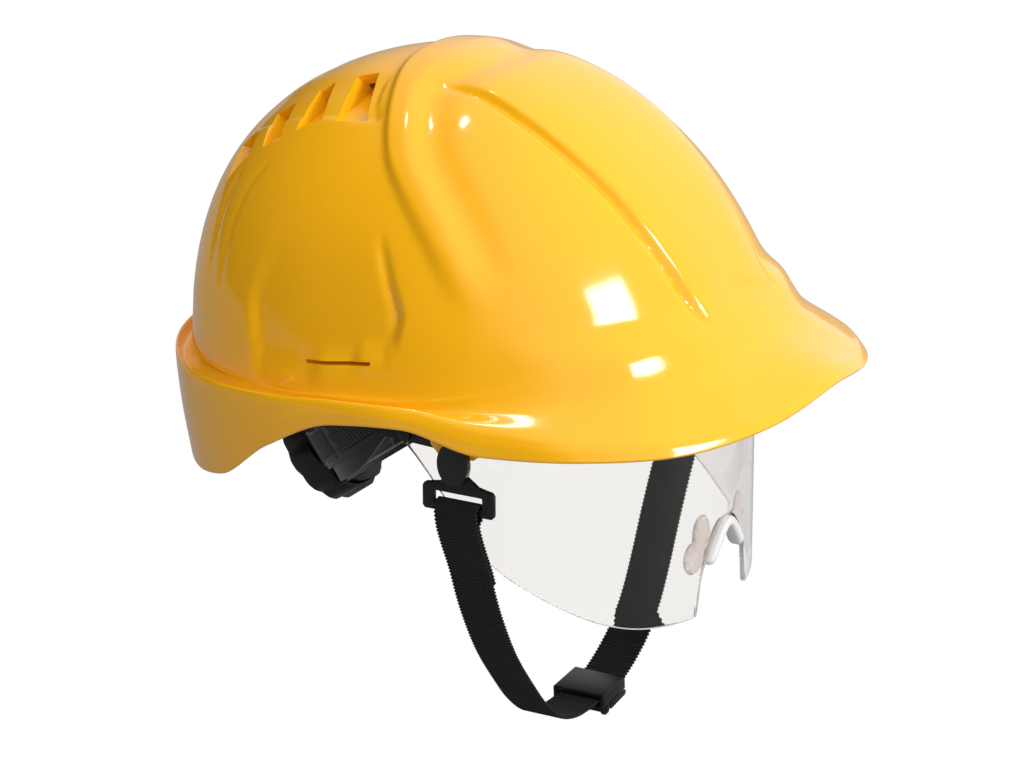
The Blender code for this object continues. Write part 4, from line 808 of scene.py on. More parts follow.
def vent_tools(side, deep, corners):
    wall, lip, margin = 1.9, 1.6, 2.0
    mouth = [Vector((x * side, y, CROWN_Z - d)) for x, y, d in corners]
    normal = facing((mouth[2] - mouth[0]).cross(mouth[3] - mouth[1]).normalized(), UP)
    centre = sum(mouth, Vector()) / 4
    grow = [(p - centre).normalized() * margin for p in mouth]
    # solid body round the pocket
    body_top = [p + g - normal * lip for p, g in zip(mouth, grow)]
    body_low = [p + g - normal * d
                for p, g, d in zip(mouth, grow, (deep + wall, deep + wall, 3.8, 3.8))]
    # pocket: deep at the crown end, rising to the surface at the outer end, with a sloped wall
    # behind
    pocket_top = [p + normal * 7.0 for p in mouth]
    pocket_low = [mouth[0] - normal * deep,
                  mouth[1] + (mouth[0] - mouth[1]) * 0.38 - normal * deep,
                  mouth[2] + (mouth[3] - mouth[2]) * 0.22 - normal * 1.0,
                  mouth[3] - normal * 1.4]
    # the air opening in the crown-side wall of the pocket
    inward = (mouth[0] - mouth[3]).normalized()
    a = mouth[0] * 0.82 + mouth[1] * 0.18
    b = mouth[0] * 0.42 + mouth[1] * 0.58
    slot_depth, slot_floor = 4.4, 4.9
    slot_top = [a - inward * 1.5 - normal * slot_depth, b - inward * 1.5 - normal * slot_depth,
                b + inward * 6 - normal * slot_depth, a + inward * 6 - normal * slot_depth]
    slot_low = [p - normal * (deep - slot_floor) for p in slot_top]
    return [(hexahedron(body_top, body_low), "UNION"),
            (hexahedron(pocket_top, pocket_low), "DIFFERENCE"),
            (hexahedron(slot_top, slot_low), "DIFFERENCE")]


def accessory_slot_tools(at):
    """Long slot in a low pad on the side, with a notch at its rear end."""
    x, y = SLOT_LONG / 2, SLOT_HIGH / 2
    place = (at @ Matrix.Translation((SLOT_Y, CROWN_Z - SLOT_D, 0))
             @ Matrix.Rotation(math.radians(-SLOT_TILT), 4, "Z"))
    notch = [(x - 1.5, -y + 0.6), (x + 2.6, -y + 0.2), (x - 0.6, y + 1.8)]
    return [(box((-x - 1.4, -y - 1.6, 96.9), (x + 1.4, y + 1.2, 100.3), place), "UNION"),
            (box((-x, -y + 0.6, 98.6), (x, y - 0.7, 112), place), "DIFFERENCE"),
            (prism(notch, 100.8, 112, place), "DIFFERENCE")]


def shell_tools():
    tools = [(socket_block(key), "UNION") for key in SOCKETS]
    for side, _ in SIDES:
        at = side_plane(side)
        boss_z = CROWN_Z - BOSS_D
        lug_hole = circle(2.6, 32, LUG_Y, CROWN_Z - LUG_D)
        tools.append((lug_plate(at), "UNION"))
        tools.append((prism(circle(4.5, 28, BOSS_Y, boss_z), 99.6, 103.5, at), "UNION"))
        for deep, corners in VENTS:
            tools += vent_tools(side, deep, corners)
        tools += accessory_slot_tools(at)
        tools.append((prism(lug_hole, 98, 105.5, at), "DIFFERENCE"))
        tools.append((prism(circle(1.45, 16, BOSS_Y, boss_z), 97.0, 102.9, at), "DIFFERENCE"))
    for key in SOCKETS:
        slit = box((-2.7, -7.4, -9), (-0.5, 7.4, 5), socket_frame(key))
        tools.append((slit, "DIFFERENCE"))
    return tools


def outer_face(outer, degrees):
    """Smooths the sweep of the peak and raises the moulded relief."""
    # one fair sweep from the brow out over the peak
    calm = fall(np.abs(degrees), 48, 76)[:, None, None]
    first, last = DOME_ROWS - 16, DOME_ROWS + 2 * RIM_PER
    for _ in range(16):
        mid = (outer[:, first - 1:last - 1] + outer[:, first + 1:last + 1]) / 2
        outer[:, first:last] += 0.5 * calm * (mid - outer[:, first:last])
    around = np.roll(outer, -1, 0) - np.roll(outer, 1, 0)
    n = unit(np.cross(np.gradient(outer, axis=1), around))
    n *= np.sign(np.einsum("ijk,ijk->ij", n, outer - DOME_MIDDLE))[..., None]
    rows = outer.shape[1]
    height = relief(outer.reshape(-1, 3), n.reshape(-1, 3)).reshape(COLUMNS, rows)
    # the relief dies out towards the lip edge
    height *= fall(np.arange(rows), rows - 12, rows - 2)[None]
    return outer + n * height[..., None]


def build_shell():
    degrees = column_angles()
    phi = np.radians(degrees)[:, None]

    def place(lines):
        r, d = np.moveaxis(np.array(lines), -1, 0)
        return np.stack([-r * np.sin(phi), POLE_Y - r * np.cos(phi), CROWN_Z - d], -1)

    outer, bead, inner = map(place, zip(*[column(float(a)) for a in degrees]))
    outer = outer_face(outer, degrees)
    line = np.concatenate([outer, bead, inner], 1)
    m = line.shape[1]
    top = np.array([[0, POLE_Y, outer[:, 0, 2].mean() + 0.01]])
    low = np.array([[0, POLE_Y, CROWN_Z - WALL]])
    verts = np.concatenate([line.reshape(-1, 3), top, low])
    faces = []
    for i in range(COLUMNS):
        a, b = i * m, (i + 1) % COLUMNS * m
        faces.append((len(verts) - 2, a, b))
        faces += [(a + k, a + k + 1, b + k + 1, b + k) for k in range(m - 1)]
        faces.append((len(verts) - 1, b + m - 1, a + m - 1))
    shell = mesh_object("shell_moulding", verts, faces, YELLOW, weld=False)
    boolean(shell, shell_tools())
    shade(shell, 32)
    attach(shell, "hat", "shell_abs", "shell")


build_shell()

# ================================================================ woven tapes

# half of a tape's section: place across (fraction of half the width) and fraction of the height
SECTION_ACROSS = np.array(
    [-1.0, -0.985, -0.95, -0.88, -0.6, -0.3, 0.0, 0.3, 0.6, 0.88, 0.95, 0.985, 1.0])
SECTION_HEIGHT = np.array(
    [0.12, 0.62, 0.88, 1.0, 1.0, 1.0, 1.0, 1.0, 1.0, 1.0, 0.88, 0.62, 0.12])


def woven_tape(name, path, normals, material, *, width, thick, pitch, rib, scallop, step):
    """A tape along a path (mm): ribs across its width, round edges scalloped at each rib."""
    p, s = even(path, step)
    n = unit(sample(s, run_lengths(np.asarray(path, float)), normals))
    ease(p, 6)
    ease(n, 6)
    t = unit(np.gradient(p, axis=0))
    n = unit(n - t * np.einsum("ij,ij->i", n, t)[:, None])
    w = np.cross(t, n)
    wave = 0.5 - 0.5 * np.cos(2 * math.pi * s / pitch)
    half_width = width / 2 - scallop * (1 - wave)
    half_thick = thick / 2 - rib * (1 - wave)
    across = np.concatenate([SECTION_ACROSS, SECTION_ACROSS[::-1]])
    height = np.concatenate([SECTION_HEIGHT, -SECTION_HEIGHT])
    rings = (p[:, None] + w[:, None] * (half_width[:, None] * across)[..., None]
             + n[:, None] * (half_thick[:, None] * height)[..., None])
    uv = np.stack(np.broadcast_arrays(s[:, None], across * width / 2), -1)
    return loft(name, rings, material, 60, uv.reshape(-1, 2))


def half_turn(first, middle, step):
    """Unit vectors turning from `first` through `middle` to its opposite."""
    return [first * math.cos(math.radians(a)) + middle * math.sin(math.radians(a))
            for a in range(0, 181, step)]


# ================================================================ chin strap

# (x, depth) down each side, in the plane y = LUG_Y
CHIN_LINES = {
    "R": ((-103.95, 149.5), (-102.4, 157.0), (-98.0, 167.0), (-93.0, 177.0), (-85.0, 196.0),
          (-72.5, 218.0), (-57.0, 237.5), (-47.0, 248.4), (-35.0, 257.8), (-22.0, 262.2),
          (-10.0, 263.0)),
    "L": ((103.95, 149.5), (101.5, 155.5), (95.8, 163.5), (89.5, 172.8), (82.0, 184.0),
          (74.5, 196.0), (67.0, 209.5), (59.8, 223.5), (51.0, 238.0), (40.0, 249.2),
          (29.0, 256.0), (22.0, 259.2)),
}
CHIN_BAR_X, CHIN_BAR_D, CHIN_BAR_R = 101.0, 148.9, 2.25
BUCKLE_CENTRE = Vector((5.2, LUG_Y, CROWN_Z - 262.2))
BUCKLE_TILT = math.radians(4.6)
BUCKLE_ALONG = Vector((math.cos(BUCKLE_TILT), 0, math.sin(BUCKLE_TILT)))
# last points of each side, in mm along the buckle from its centre
CHIN_TAILS = {"R": (-1.0,), "L": (11.5, 1.0)}
FOLD = slice(2, 11)  # part of the line that the folded-back end lies on
STITCH_ROWS = (8, 10)  # points of the line that the stitch rows cross
STITCH_HALF = Vector((0, 7.6, 0))


def stitch_row(name, start, end, normal, length=2.0, gap=0.9, r=0.24):
    """A row of short round threads that dip into the cloth at both ends."""
    start, end, normal = np.array(start), np.array(end), unit(normal)
    total = np.linalg.norm(end - start)
    count, sides = 7, 6
    arch = np.sin(np.linspace(0, math.pi, count))
    radii = (r * (0.55 + 0.45 * arch))[:, None]
    turn = 2 * math.pi * np.arange(sides) / sides
    verts, faces = [], []
    at = 0.3
    while at + length < total:
        along = at + length * np.linspace(0, 1, count)
        c = start + unit(end - start) * along[:, None]
        c = c + normal * (arch * r * 1.3 - r * 0.6)[:, None]
        b = np.cross(unit(np.gradient(c, axis=0)), normal)
        rings = (c[:, None] + b[:, None] * (radii * np.cos(turn))[..., None]
                 + normal * (radii * np.sin(turn))[..., None])
        faces += [tuple(len(verts) + k for k in f) for f in tube_faces(count, sides)]
        verts += rings.reshape(-1, 3).tolist()
        at += length + gap
    ob = mesh_object(name, verts, faces, THREAD, 50, weld=False)
    attach(ob, "chin_strap", "black_webbing")


def build_chin_side(side, letter):
    """One side of the strap: folded end, turn round the slot bar, then down to the buckle."""
    thick = CHIN_WEAVE["thick"]
    bar = Vector((side * CHIN_BAR_X, LUG_Y, CROWN_Z - CHIN_BAR_D))
    inward = Vector((-side, 0, 0))
    r = CHIN_BAR_R + thick / 2
    line = [(x, LUG_Y, CROWN_Z - d) for x, d in CHIN_LINES[letter]]
    curve = [Vector(p) for p in catmull(line, 3)]
    normals = [facing(tangent(curve, i).cross(Vector((0, 1, 0))), inward + UP)
               for i in range(len(curve))]
    gap = thick + 0.12
    fold = [p + n * gap for p, n in zip(curve[FOLD], normals[FOLD])][::-1]
    turn = half_turn(inward, UP, 20)
    path = fold + [bar + inward * r - UP * 2.2] + [bar + v * r for v in turn] + curve[1:]
    path_normals = []
    for n in normals[FOLD][::-1] + [inward] + turn + normals[1:]:
        path_normals.append(facing(n, path_normals[-1]) if path_normals else n)
    for distance in CHIN_TAILS[letter]:
        path.append(BUCKLE_CENTRE + BUCKLE_ALONG * distance)
        path_normals.append(path_normals[-1])
    ob = woven_tape(f"chin_webbing_{letter}", path, path_normals, CHIN_WEB, **CHIN_WEAVE)
    attach(ob, "chin_strap", "black_webbing", f"chin_web_{letter}")
    # two rows of stitching close the fold, on the outer face
    for row, k in enumerate(STITCH_ROWS, 1):
        face = curve[k] - normals[k] * (thick / 2 - 0.06)
        stitch_row(f"chin_stitch_{letter}{row}", face - STITCH_HALF, face + STITCH_HALF,
                   -normals[k])


for side, letter in SIDES:
    build_chin_side(side, letter)

# ================================================================ cradle tapes

BAND_Y, BAND_AX, BAND_AY, BAND_EXP, BAND_T = 8.0, 75.3, 87.0, 2.3, 1.8
KEY_BAR = (-3.8, 0, -22.5)  # bar of a key, in its socket's frame
FRONT_BAR_ANGLE, FRONT_BAR_D = 24.0, 100.3
TAPE_CENTRE_Y = POLE_Y + 3.0
SHOULDER_EXP = 0.92


def band_plan(theta, grow=0.0):
    """Plan of the headband at an angle in degrees from the front, positive to the left."""
    q = math.radians(theta)
    c, s = math.cos(q), math.sin(q)
    ax, ay, e = BAND_AX + grow, BAND_AY + grow, BAND_EXP
    r = ((abs(s) / ax) ** e + (abs(c) / ay) ** e) ** (-1 / e)
    return Vector((r * s, BAND_Y - r * c, 0))


def key_loop(key):
    """Tape round the bar of a key, its end crossing back over: points and normals."""
    at = socket_frame(key)
    bar = at @ Vector(KEY_BAR)
    inward = -(at.to_3x3() @ Vector((1, 0, 0)))
    r = 2.9 + CRADLE_WEAVE["thick"] / 2
    turn = half_turn(inward, -UP, 18)
    points = [bar + inward * r + UP * 1.2] + [bar + v * r for v in turn]
    points += [bar - inward * r + UP * 1.6, bar - inward * (r - 1.6) + UP * 4.0,
               bar + inward * 1.4 + UP * 6.4, bar + inward * 2.9 + UP * 9.0]
    leaving = [-inward, -inward - UP * 0.6, -inward - UP * 1.2, -inward - UP * 0.5]
    return points, [inward] + turn + leaving


def band_loop(side):
    """Tape end hooked under a bar at the front of the headband: points and normals."""
    p = band_plan(side * FRONT_BAR_ANGLE)
    t = (band_plan(side * FRONT_BAR_ANGLE + 1) - p).normalized()
    inward = -facing(Vector((t.y, -t.x, 0)), Vector((0, -1, 0)))
    bar = Vector((p.x, p.y, CROWN_Z - FRONT_BAR_D))
    r = 3.1 + CRADLE_WEAVE["thick"] / 2
    turn = half_turn(inward, -UP, 18)
    points = [bar + inward * r + UP * 12.0, bar + inward * r + UP * 6.0]
    return points + [bar + v * r for v in turn], [inward] * 2 + turn


def crown_tape(name, ends, rise):
    """A tape from one end loop over the crown, at height `rise`, to the other."""
    (points_a, normals_a), (points_b, normals_b) = ends
    start, end = points_a[-1], points_b[-1]
    centre = Vector((0, TAPE_CENTRE_Y, 0))
    climbs = []
    for p in (start, end):
        radial = Vector((p.x - centre.x, p.y - centre.y, 0))
        climbs.append([centre + radial * (math.cos(q) ** SHOULDER_EXP)
                       + UP * (p.z + (rise - p.z) * math.sin(q) ** SHOULDER_EXP)
                       for q in [k / 7 * math.pi / 2 for k in range(1, 7)]])
    over = climbs[0] + [centre + UP * rise] + climbs[1][::-1]
    path = points_a + over + points_b[::-1]
    across = end - start
    across.z = 0
    w = across.normalized().cross(UP)
    line = [start] + over + [end]
    over_normals = [facing((b - a).normalized().cross(w), UP) for a, b in zip(line, line[2:])]
    normals = []
    for i, n in enumerate(normals_a + over_normals + normals_b[::-1]):
        t = tangent(path, i)
        n = (n - t * n.dot(t)).normalized()
        normals.append(facing(n, normals[-1]) if normals else n)
    ob = woven_tape("cradle_tape_" + name, path, normals, CRADLE_WEB, **CRADLE_WEAVE)
    attach(ob, "hat", "cradle_tape", "crown_tape_" + name)


crown_tape("cross", (key_loop("side_R"), key_loop("side_L")), rise=5.2)
crown_tape("diagonal_1", (key_loop("rear_R"), band_loop(1)), rise=7.1)
crown_tape("diagonal_2", (key_loop("rear_L"), band_loop(-1)), rise=9.0)

# ================================================================ soft pads

# arc at the nape: centre, the tilted direction out to the rear (NAPE_OUT) and up (NAPE_UP)
NAPE_Y, NAPE_D, NAPE_SHIFT = 4.0, 116.0, 7.5
NAPE_TILT = math.radians(36.0)
NAPE_OUT = Vector((0, math.cos(NAPE_TILT), -math.sin(NAPE_TILT)))
NAPE_UP = Vector((0, math.sin(NAPE_TILT), math.cos(NAPE_TILT)))
NAPE_CENTRE = Vector((0, NAPE_Y, CROWN_Z - NAPE_D)) + NAPE_OUT * NAPE_SHIFT


def nape(psi, r, w=0.0):
    q = math.radians(psi)
    return (NAPE_CENTRE + Vector((1, 0, 0)) * (r * math.sin(q)) + NAPE_OUT * (r * math.cos(q))
            + NAPE_UP * w)


def pad_depth(u, v, thick, channels, channel_width):
    """Thickness at u (0..1 along) and v (-1..1 across): full between the sewn edges, dipping at
    the channels, with faint wrinkles."""
    end = math.sin(min(1.0, min(u, 1 - u) / 0.035) * math.pi / 2)
    dip = 1.0
    for c in channels:
        dip -= 0.62 * math.exp(-((u - c) / channel_width) ** 2)
    edge = max(0.0, 1 - abs(v) ** 6) ** 0.5
    if abs(v) > 0.985:
        return thick * 0.16
    body = thick * (0.30 + 0.70 * edge * dip * (1 - 0.10 * v * v)) * (0.35 + 0.65 * end)
    wrinkle = (0.10 * math.sin(41 * u * 2 * math.pi + 3 * v) * (abs(v) ** 3)
               + 0.05 * math.sin(97 * u * 2 * math.pi - 5 * v))
    seam = 0.35 if 0.80 < abs(v) < 0.88 else 0.0
    return body + wrinkle - seam


def pad_strip(name, node, angles, at, half, thick, channels, channel_width):
    """A long sewn pad: `at(angle, depth, height)` gives a point, depth from its back face."""
    across = np.linspace(-1, 1, 33)
    rings = []
    for i, angle in enumerate(angles):
        u = i / (len(angles) - 1)
        front = [tuple(at(angle, pad_depth(u, v, thick, channels, channel_width), v * half))
                 for v in across]
        rear = [tuple(at(angle, 0.0, v * half)) for v in across]
        rings.append(front + rear[::-1])
    ob = loft(name, rings, CLOTH, 55)
    attach(ob, "hat", "foam_cloth", node)


def sweatband_point(angle, depth, height):
    p = band_plan(angle, -BAND_T / 2 - 0.35 - depth)
    return p.x, p.y, CROWN_Z - 116.9 + height


def nape_point(angle, depth, height):
    return nape(angle, 76.1 - depth, height)


def build_crown_pad():
    """Quilted disc with a sewn rim, flat where it rests."""
    radii = np.concatenate([np.linspace(0.6, 27.5, 40), np.linspace(28.0, 32.0, 14)])
    angles = np.linspace(0, 2 * math.pi, 145)[:-1]
    top, low = [], []
    for r in radii:
        height = 3.7 * (1 - (r / 34.0) ** 2.2) + 0.15
        bead = 0.0
        if r > 28.4:
            q = (r - 30.2) / 1.8
            bead = 1.25 * math.sqrt(max(0.0, 1 - q * q))
            height = 0.55
        elif r > 26.6:
            height = min(height, 0.9)
        lift = 0.0 if r < 28.6 else 0.25 * ((r - 28.6) / 3.4) ** 2
        for a in angles:
            x, y = r * math.cos(a), r * math.sin(a)
            # quilting lines 10.5 mm from the centre, both ways
            lines = sum(math.exp(-((abs(c) - 10.5) / 0.9) ** 2) for c in (x, y))
            quilt = -0.55 * lines * (r < 27)
            pucker = 0.04 * math.sin(37 * a) * (r > 22)
            top.append((x, y + POLE_Y, height + quilt + bead + pucker))
            low.append((x, y + POLE_Y, lift))
    n, m = len(radii), len(angles)
    verts = top + low + [(0, POLE_Y, 3.85), (0, POLE_Y, 0.0)]
    under, rim = n * m, (n - 1) * m
    faces = ring_faces(n, m)
    faces += [tuple(under + k for k in f) for f in ring_faces(n, m)]
    pairs = [(k, (k + 1) % m) for k in range(m)]
    faces += [(rim + k, rim + j, under + rim + j, under + rim + k) for k, j in pairs]
    faces += [(len(verts) - 2, k, j) for k, j in pairs]
    faces += [(len(verts) - 1, under + k, under + j) for k, j in pairs]
    ob = mesh_object("crown_pad_quilted", verts, faces, CLOTH, 60, weld=False)
    attach(ob, "hat", "foam_cloth", "crown_pad")


pad_strip("sweatband_pad", "sweatband", np.linspace(-58.5, 58.5, 150), sweatband_point,
          half=8.7, thick=3.3, channels=[k / 9 for k in range(1, 9)], channel_width=0.010)
pad_strip("nape_pad_cloth", "nape_pad", np.linspace(-27, 27, 90), nape_point,
          half=15.0, thick=3.9, channels=[1 / 3, 2 / 3], channel_width=0.03)
build_crown_pad()

# ================================================================ visor

LENS_Y, LENS_AX, LENS_AY, LENS_EXP, LENS_T = -10.0, 86.0, 86.0, 2.2, 1.8
LENS_TOP_D, LENS_ROUND = 125.0, 0.7
TEMPLE_FROM, TEMPLE_LONG = 0.88, 14.5  # share of the plan that is curved, length of the straights
# (y, depth) of the lower edge
LENS_LOW_LINE = ((6, 127.0), (4.5, 129.0), (-5.5, 138.0), (-18, 153.0), (-32.5, 172.5),
                 (-40, 180.5), (-51, 188.0), (-61, 194.5), (-73, 202.0), (-83.5, 207.0),
                 (-93.5, 209.5), (-97, 209.5))
LENS_LOW = catmull(LENS_LOW_LINE, 8)[::-1]
LENS_HOLE_R, LENS_HOLE_YS, LENS_HOLE_D = 1.9, (-11.5, -2.5), 127.8


def lens_plan(t):
    """Outer plan of the lens for t from -1 (right end) to 1 (left end)."""
    side = 1 if t >= 0 else -1
    a = abs(t)
    if a > TEMPLE_FROM:
        y = LENS_Y + (a - TEMPLE_FROM) / (1 - TEMPLE_FROM) * TEMPLE_LONG
        return Vector((side * LENS_AX, y, 0))
    q = a / TEMPLE_FROM * math.pi / 2
    return Vector((side * LENS_AX * math.sin(q) ** (2 / LENS_EXP),
                   LENS_Y - LENS_AY * max(0.0, math.cos(q)) ** (2 / LENS_EXP), 0))


def lens_front(x):
    """y of the outer face."""
    return LENS_Y - LENS_AY * (1 - (abs(x) / LENS_AX) ** LENS_EXP) ** (1 / LENS_EXP)


def nose_notch(x):
    """Depth of the notch over the nose; well below the lens outside it."""
    u = abs(x) / (13.5 + 7.0 * smoothstep(abs(x), 0, 20))
    return 173.5 + 26.0 * u ** 2.4 if u < 1 else 220.0


def lens_bottom(x, y):
    depth = float(np.interp(y, *LENS_LOW.T)) if y <= 6 else 127.0
    return min(depth, nose_notch(x)) if abs(x) < 22 else depth


def mark_cut_edges(lens, line, normals):
    """The cut edge is the second material: faces turned from the plan normal, below the top."""
    lens.data.materials.append(LENS_EDGE)
    plan = to_world(line)[:, :2]
    polygons = lens.data.polygons
    centres, face_normals = np.empty(len(polygons) * 3), np.empty(len(polygons) * 3)
    polygons.foreach_get("center", centres)
    polygons.foreach_get("normal", face_normals)
    centres, face_normals = centres.reshape(-1, 3), face_normals.reshape(-1, 3)
    nearest = np.array([((plan - c[:2]) ** 2).sum(1).argmin() for c in centres])
    turned = np.abs(np.einsum("ij,ij->i", face_normals, normals[nearest])) < 0.8
    cut = turned & (centres[:, 2] < -0.095)
    polygons.foreach_set("material_index", cut.astype(np.int32))


def build_lens():
    line, _ = even([tuple(lens_plan(t)) for t in np.linspace(-1, 1, 1600)], 0.8)
    normals = np.cross(unit(np.gradient(line, axis=0)), np.array([0, 0, 1.0]))
    bottoms = np.array([lens_bottom(p[0], p[1]) for p in line])
    ease(bottoms, 2)
    half, high = LENS_T / 2, CROWN_Z - LENS_TOP_D
    rings = []
    for p, n, depth in zip(line, normals, bottoms):
        low = CROWN_Z - depth + LENS_ROUND
        # down the outer face, round the lower edge and up the inner face
        section = [(half, z) for z in np.linspace(high, low, 14)]
        section += [(half * math.cos(a), low - LENS_ROUND * math.sin(a))
                    for a in [math.radians(22.5 * k) for k in range(1, 8)]]
        section += [(-half, z) for z in np.linspace(low, high, 14)]
        rings.append([p - n * half + n * out + np.array([0, 0, z]) for out, z in section])
    lens = loft("visor_lens_clear", rings, LENS)
    holes = [(prism(circle(LENS_HOLE_R, 32, y, CROWN_Z - LENS_HOLE_D), 80, 90, side_plane(side)),
              "DIFFERENCE") for side, _ in SIDES for y in LENS_HOLE_YS]
    boolean(lens, holes)
    shade(lens, 35)
    mark_cut_edges(lens, line, normals)
    attach(lens, "visor", "clear_polycarbonate", "visor_lens")


def build_nose_trim():
    """Soft trim along the notch over the nose, tapered at its ends."""
    line = [(x, lens_front(x) + LENS_T / 2, CROWN_Z - nose_notch(x))
            for x in np.linspace(-15.6, 15.6, 61)]
    line, _ = even(line, 0.7)
    tangents = unit(np.gradient(line, axis=0))
    half_wide, half_high, drop = 3.2, 2.1, 2.3
    rings = []
    for i, (p, along) in enumerate(zip(line, tangents)):
        t = unit(np.array([along[0], 0, along[2]]))
        n = np.array([t[2], 0, -t[0]])
        w = np.cross(t, n)
        k = min(1.0, min(i, len(line) - 1 - i) / 5.0)
        taper = 0.45 + 0.55 * math.sqrt(1 - (1 - k) ** 2)
        ring = []
        for c, s in circle(1.0, 20, 0.0, 0.0):
            across = half_wide * taper * math.copysign(abs(c) ** 0.55, c)
            up = half_high * taper * math.copysign(abs(s) ** 0.7, s)
            ring.append(p + n * drop + w * across + n * up)
        rings.append(ring)
    ob = loft("nose_trim_soft", rings, WHITE, 60)
    attach(ob, "visor", "white_tpe", "nose_trim")


def two_lobes(side, count):
    """Outline of a nose pad: a round lower lobe and a longer upper one that leans towards the
    nose."""
    # centre x, y and half lengths of each lobe
    lobes = ((side * 1.9, -4.4, 6.1, 6.8), (-side * 3.0, 4.6, 5.3, 8.0))
    directions = circle(1.0, count, 0.0, 0.0)
    reach = []
    for c, s in directions:
        best = 0.0
        for x, y, a, b in lobes:
            # far root of the quadratic for the ray from the middle
            qa = (c / a) ** 2 + (s / b) ** 2
            qb = -2 * (c * x / a ** 2 + s * y / b ** 2)
            qc = (x / a) ** 2 + (y / b) ** 2 - 1
            best = max(best, (-qb + math.sqrt(max(qb * qb - 4 * qa * qc, 0))) / (2 * qa))
        reach.append(best)
    r = np.array(reach)
    for _ in range(6):
        r = (np.roll(r, 1) + 2 * r + np.roll(r, -1)) / 4
    return [(k * c, k * s) for k, (c, s) in zip(r, directions)]


# (scale of the outline, height) from the back of a nose pad to its face
NOSE_PAD_ROWS = ((0.86, -0.2), (0.97, 0.0), (1.0, 0.4), (0.97, 0.8), (0.88, 1.1), (0.7, 1.28),
                 (0.45, 1.36), (0.2, 1.4))
NOSE_PAD_X, NOSE_PAD_D, NOSE_PAD_LEAN, NOSE_PAD_SINK = 18.5, 181.0, 0.18, 0.15


def build_nose_pad(side, letter):
    x = side * NOSE_PAD_X
    at = frame_at((x, lens_front(x) + LENS_T + 1.6, CROWN_Z - NOSE_PAD_D),
                  (1, NOSE_PAD_LEAN * side, 0), (side * NOSE_PAD_LEAN, -1, 0.0))
    outline = two_lobes(side, 96)
    rings = [[tuple(at @ Vector((x * scale, y * scale, z - NOSE_PAD_SINK))) for x, y in outline]
             for scale, z in NOSE_PAD_ROWS]
    ob = loft(f"nose_pad_soft_{letter}", rings, SOFT, 60)
    attach(ob, "visor", "soft_clear_tpe", f"nose_pad_{letter}")


build_lens()
build_nose_trim()
for side, letter in SIDES:
    build_nose_pad(side, letter)

# ================================================================ grips on the nape tails

TAIL_RADIUS_R, TAIL_RADIUS_L, TAIL_T = 80.2, 81.9, 1.4
GRIP_ANGLES, GRIP_HALF, GRIP_HEIGHT = (36.0, 84.0), 7.6, 0.55
GRIP_SLANT, GRIP_PITCH = 0.35, 2.3
GRIP_LONG, GRIP_ACROSS = 150, 40  # mesh points


def grip_height(u, v, x, w):
    """Slanted ribs in two fields, framed by a thin rail with a groove inside it."""
    edge = min(u * (GRIP_LONG - 1) / 4, (1 - u) * (GRIP_LONG - 1) / 4,
               v * (GRIP_ACROSS - 1) / 2.5, (1 - v) * (GRIP_ACROSS - 1) / 2.5)
    if 1 <= edge < 2.0 or abs(u - 0.5) < 0.035:
        return GRIP_HEIGHT * 0.2
    if edge < 1:
        return GRIP_HEIGHT * 0.95
    rib = 0.5 + 0.5 * math.cos(2 * math.pi * ((x + w * GRIP_SLANT) / GRIP_PITCH))
    return GRIP_HEIGHT * (0.25 + 0.75 * rib ** 0.6)


def build_grip(name, side, radius, body):
    """A raised panel wrapped round a tail."""
    first, last = GRIP_ANGLES
    n, m = GRIP_LONG, GRIP_ACROSS
    top, base = [], []
    for i in range(n):
        u = i / (n - 1)
        psi = first + (last - first) * u
        for j in range(m):
            v = j / (m - 1)
            w = -GRIP_HALF + 2 * GRIP_HALF * v
            height = grip_height(u, v, math.radians(psi) * radius, w)
            top.append(tuple(nape(side * psi, radius + height, w)))
            base.append(tuple(nape(side * psi, radius - 0.25, w)))
    under = n * m
    faces = []
    for i in range(n - 1):
        for j in range(m - 1):
            a = i * m + j
            quad = (a, a + 1, a + m + 1, a + m)
            faces += [quad, tuple(under + k for k in quad[::-1])]
    rim = [i * m for i in range(n)] + [(n - 1) * m + j for j in range(1, m)]
    rim += [i * m + m - 1 for i in range(n - 2, -1, -1)] + list(range(m - 2, 0, -1))
    faces += [(a, b, under + b, under + a) for a, b in zip(rim, rim[1:] + rim[:1])]
    ob = mesh_object(name, top + base, faces, BLACK, 45, weld=False)
    attach(ob, body, "grey_plastic")


build_grip("nape_tail_grip_R", -1, TAIL_RADIUS_R + TAIL_T / 2, "tail_right")
build_grip("nape_tail_grip_L", 1, TAIL_RADIUS_L + TAIL_T / 2, "tail_left")

# ================================================================ pieces that are shown as made

# by the start of the name; the rest are satin black with the small bevel
FINISH = {
    # the buckle pin's steel is darkened as painted shade of its dimple
    "visor_pin": STEEL, "bracket_screw": STEEL, "buckle_pin": DIMPLE_SHADE_STEEL,
    "nape_tail": CHARCOAL, "ratchet_pinion": CHARCOAL, "pawl_disc": CHARCOAL,
    "knob_cap": CHARCOAL, "chin_clip": BLACK_GLOSS,
}
BEVEL = {
    "chin_clip": 1.1, "slot_bar": 0.45, "buckle_body": 0.5, "buckle_lever": 0.45,
    "ratchet_knob": 0.35, "knob_cap": 0.3, "ratchet_housing": 0.4, "headband": 0.5,
    "nape_yoke": 0.45, "nape_tail": 0.25, "visor_arm": 0.5, "visor_bracket": 0.5, "key_": 0.3,
}
SMALL_BEVEL = 0.15


def by_prefix(table, name, default):
    return next((v for k, v in table.items() if name.startswith(k)), default)


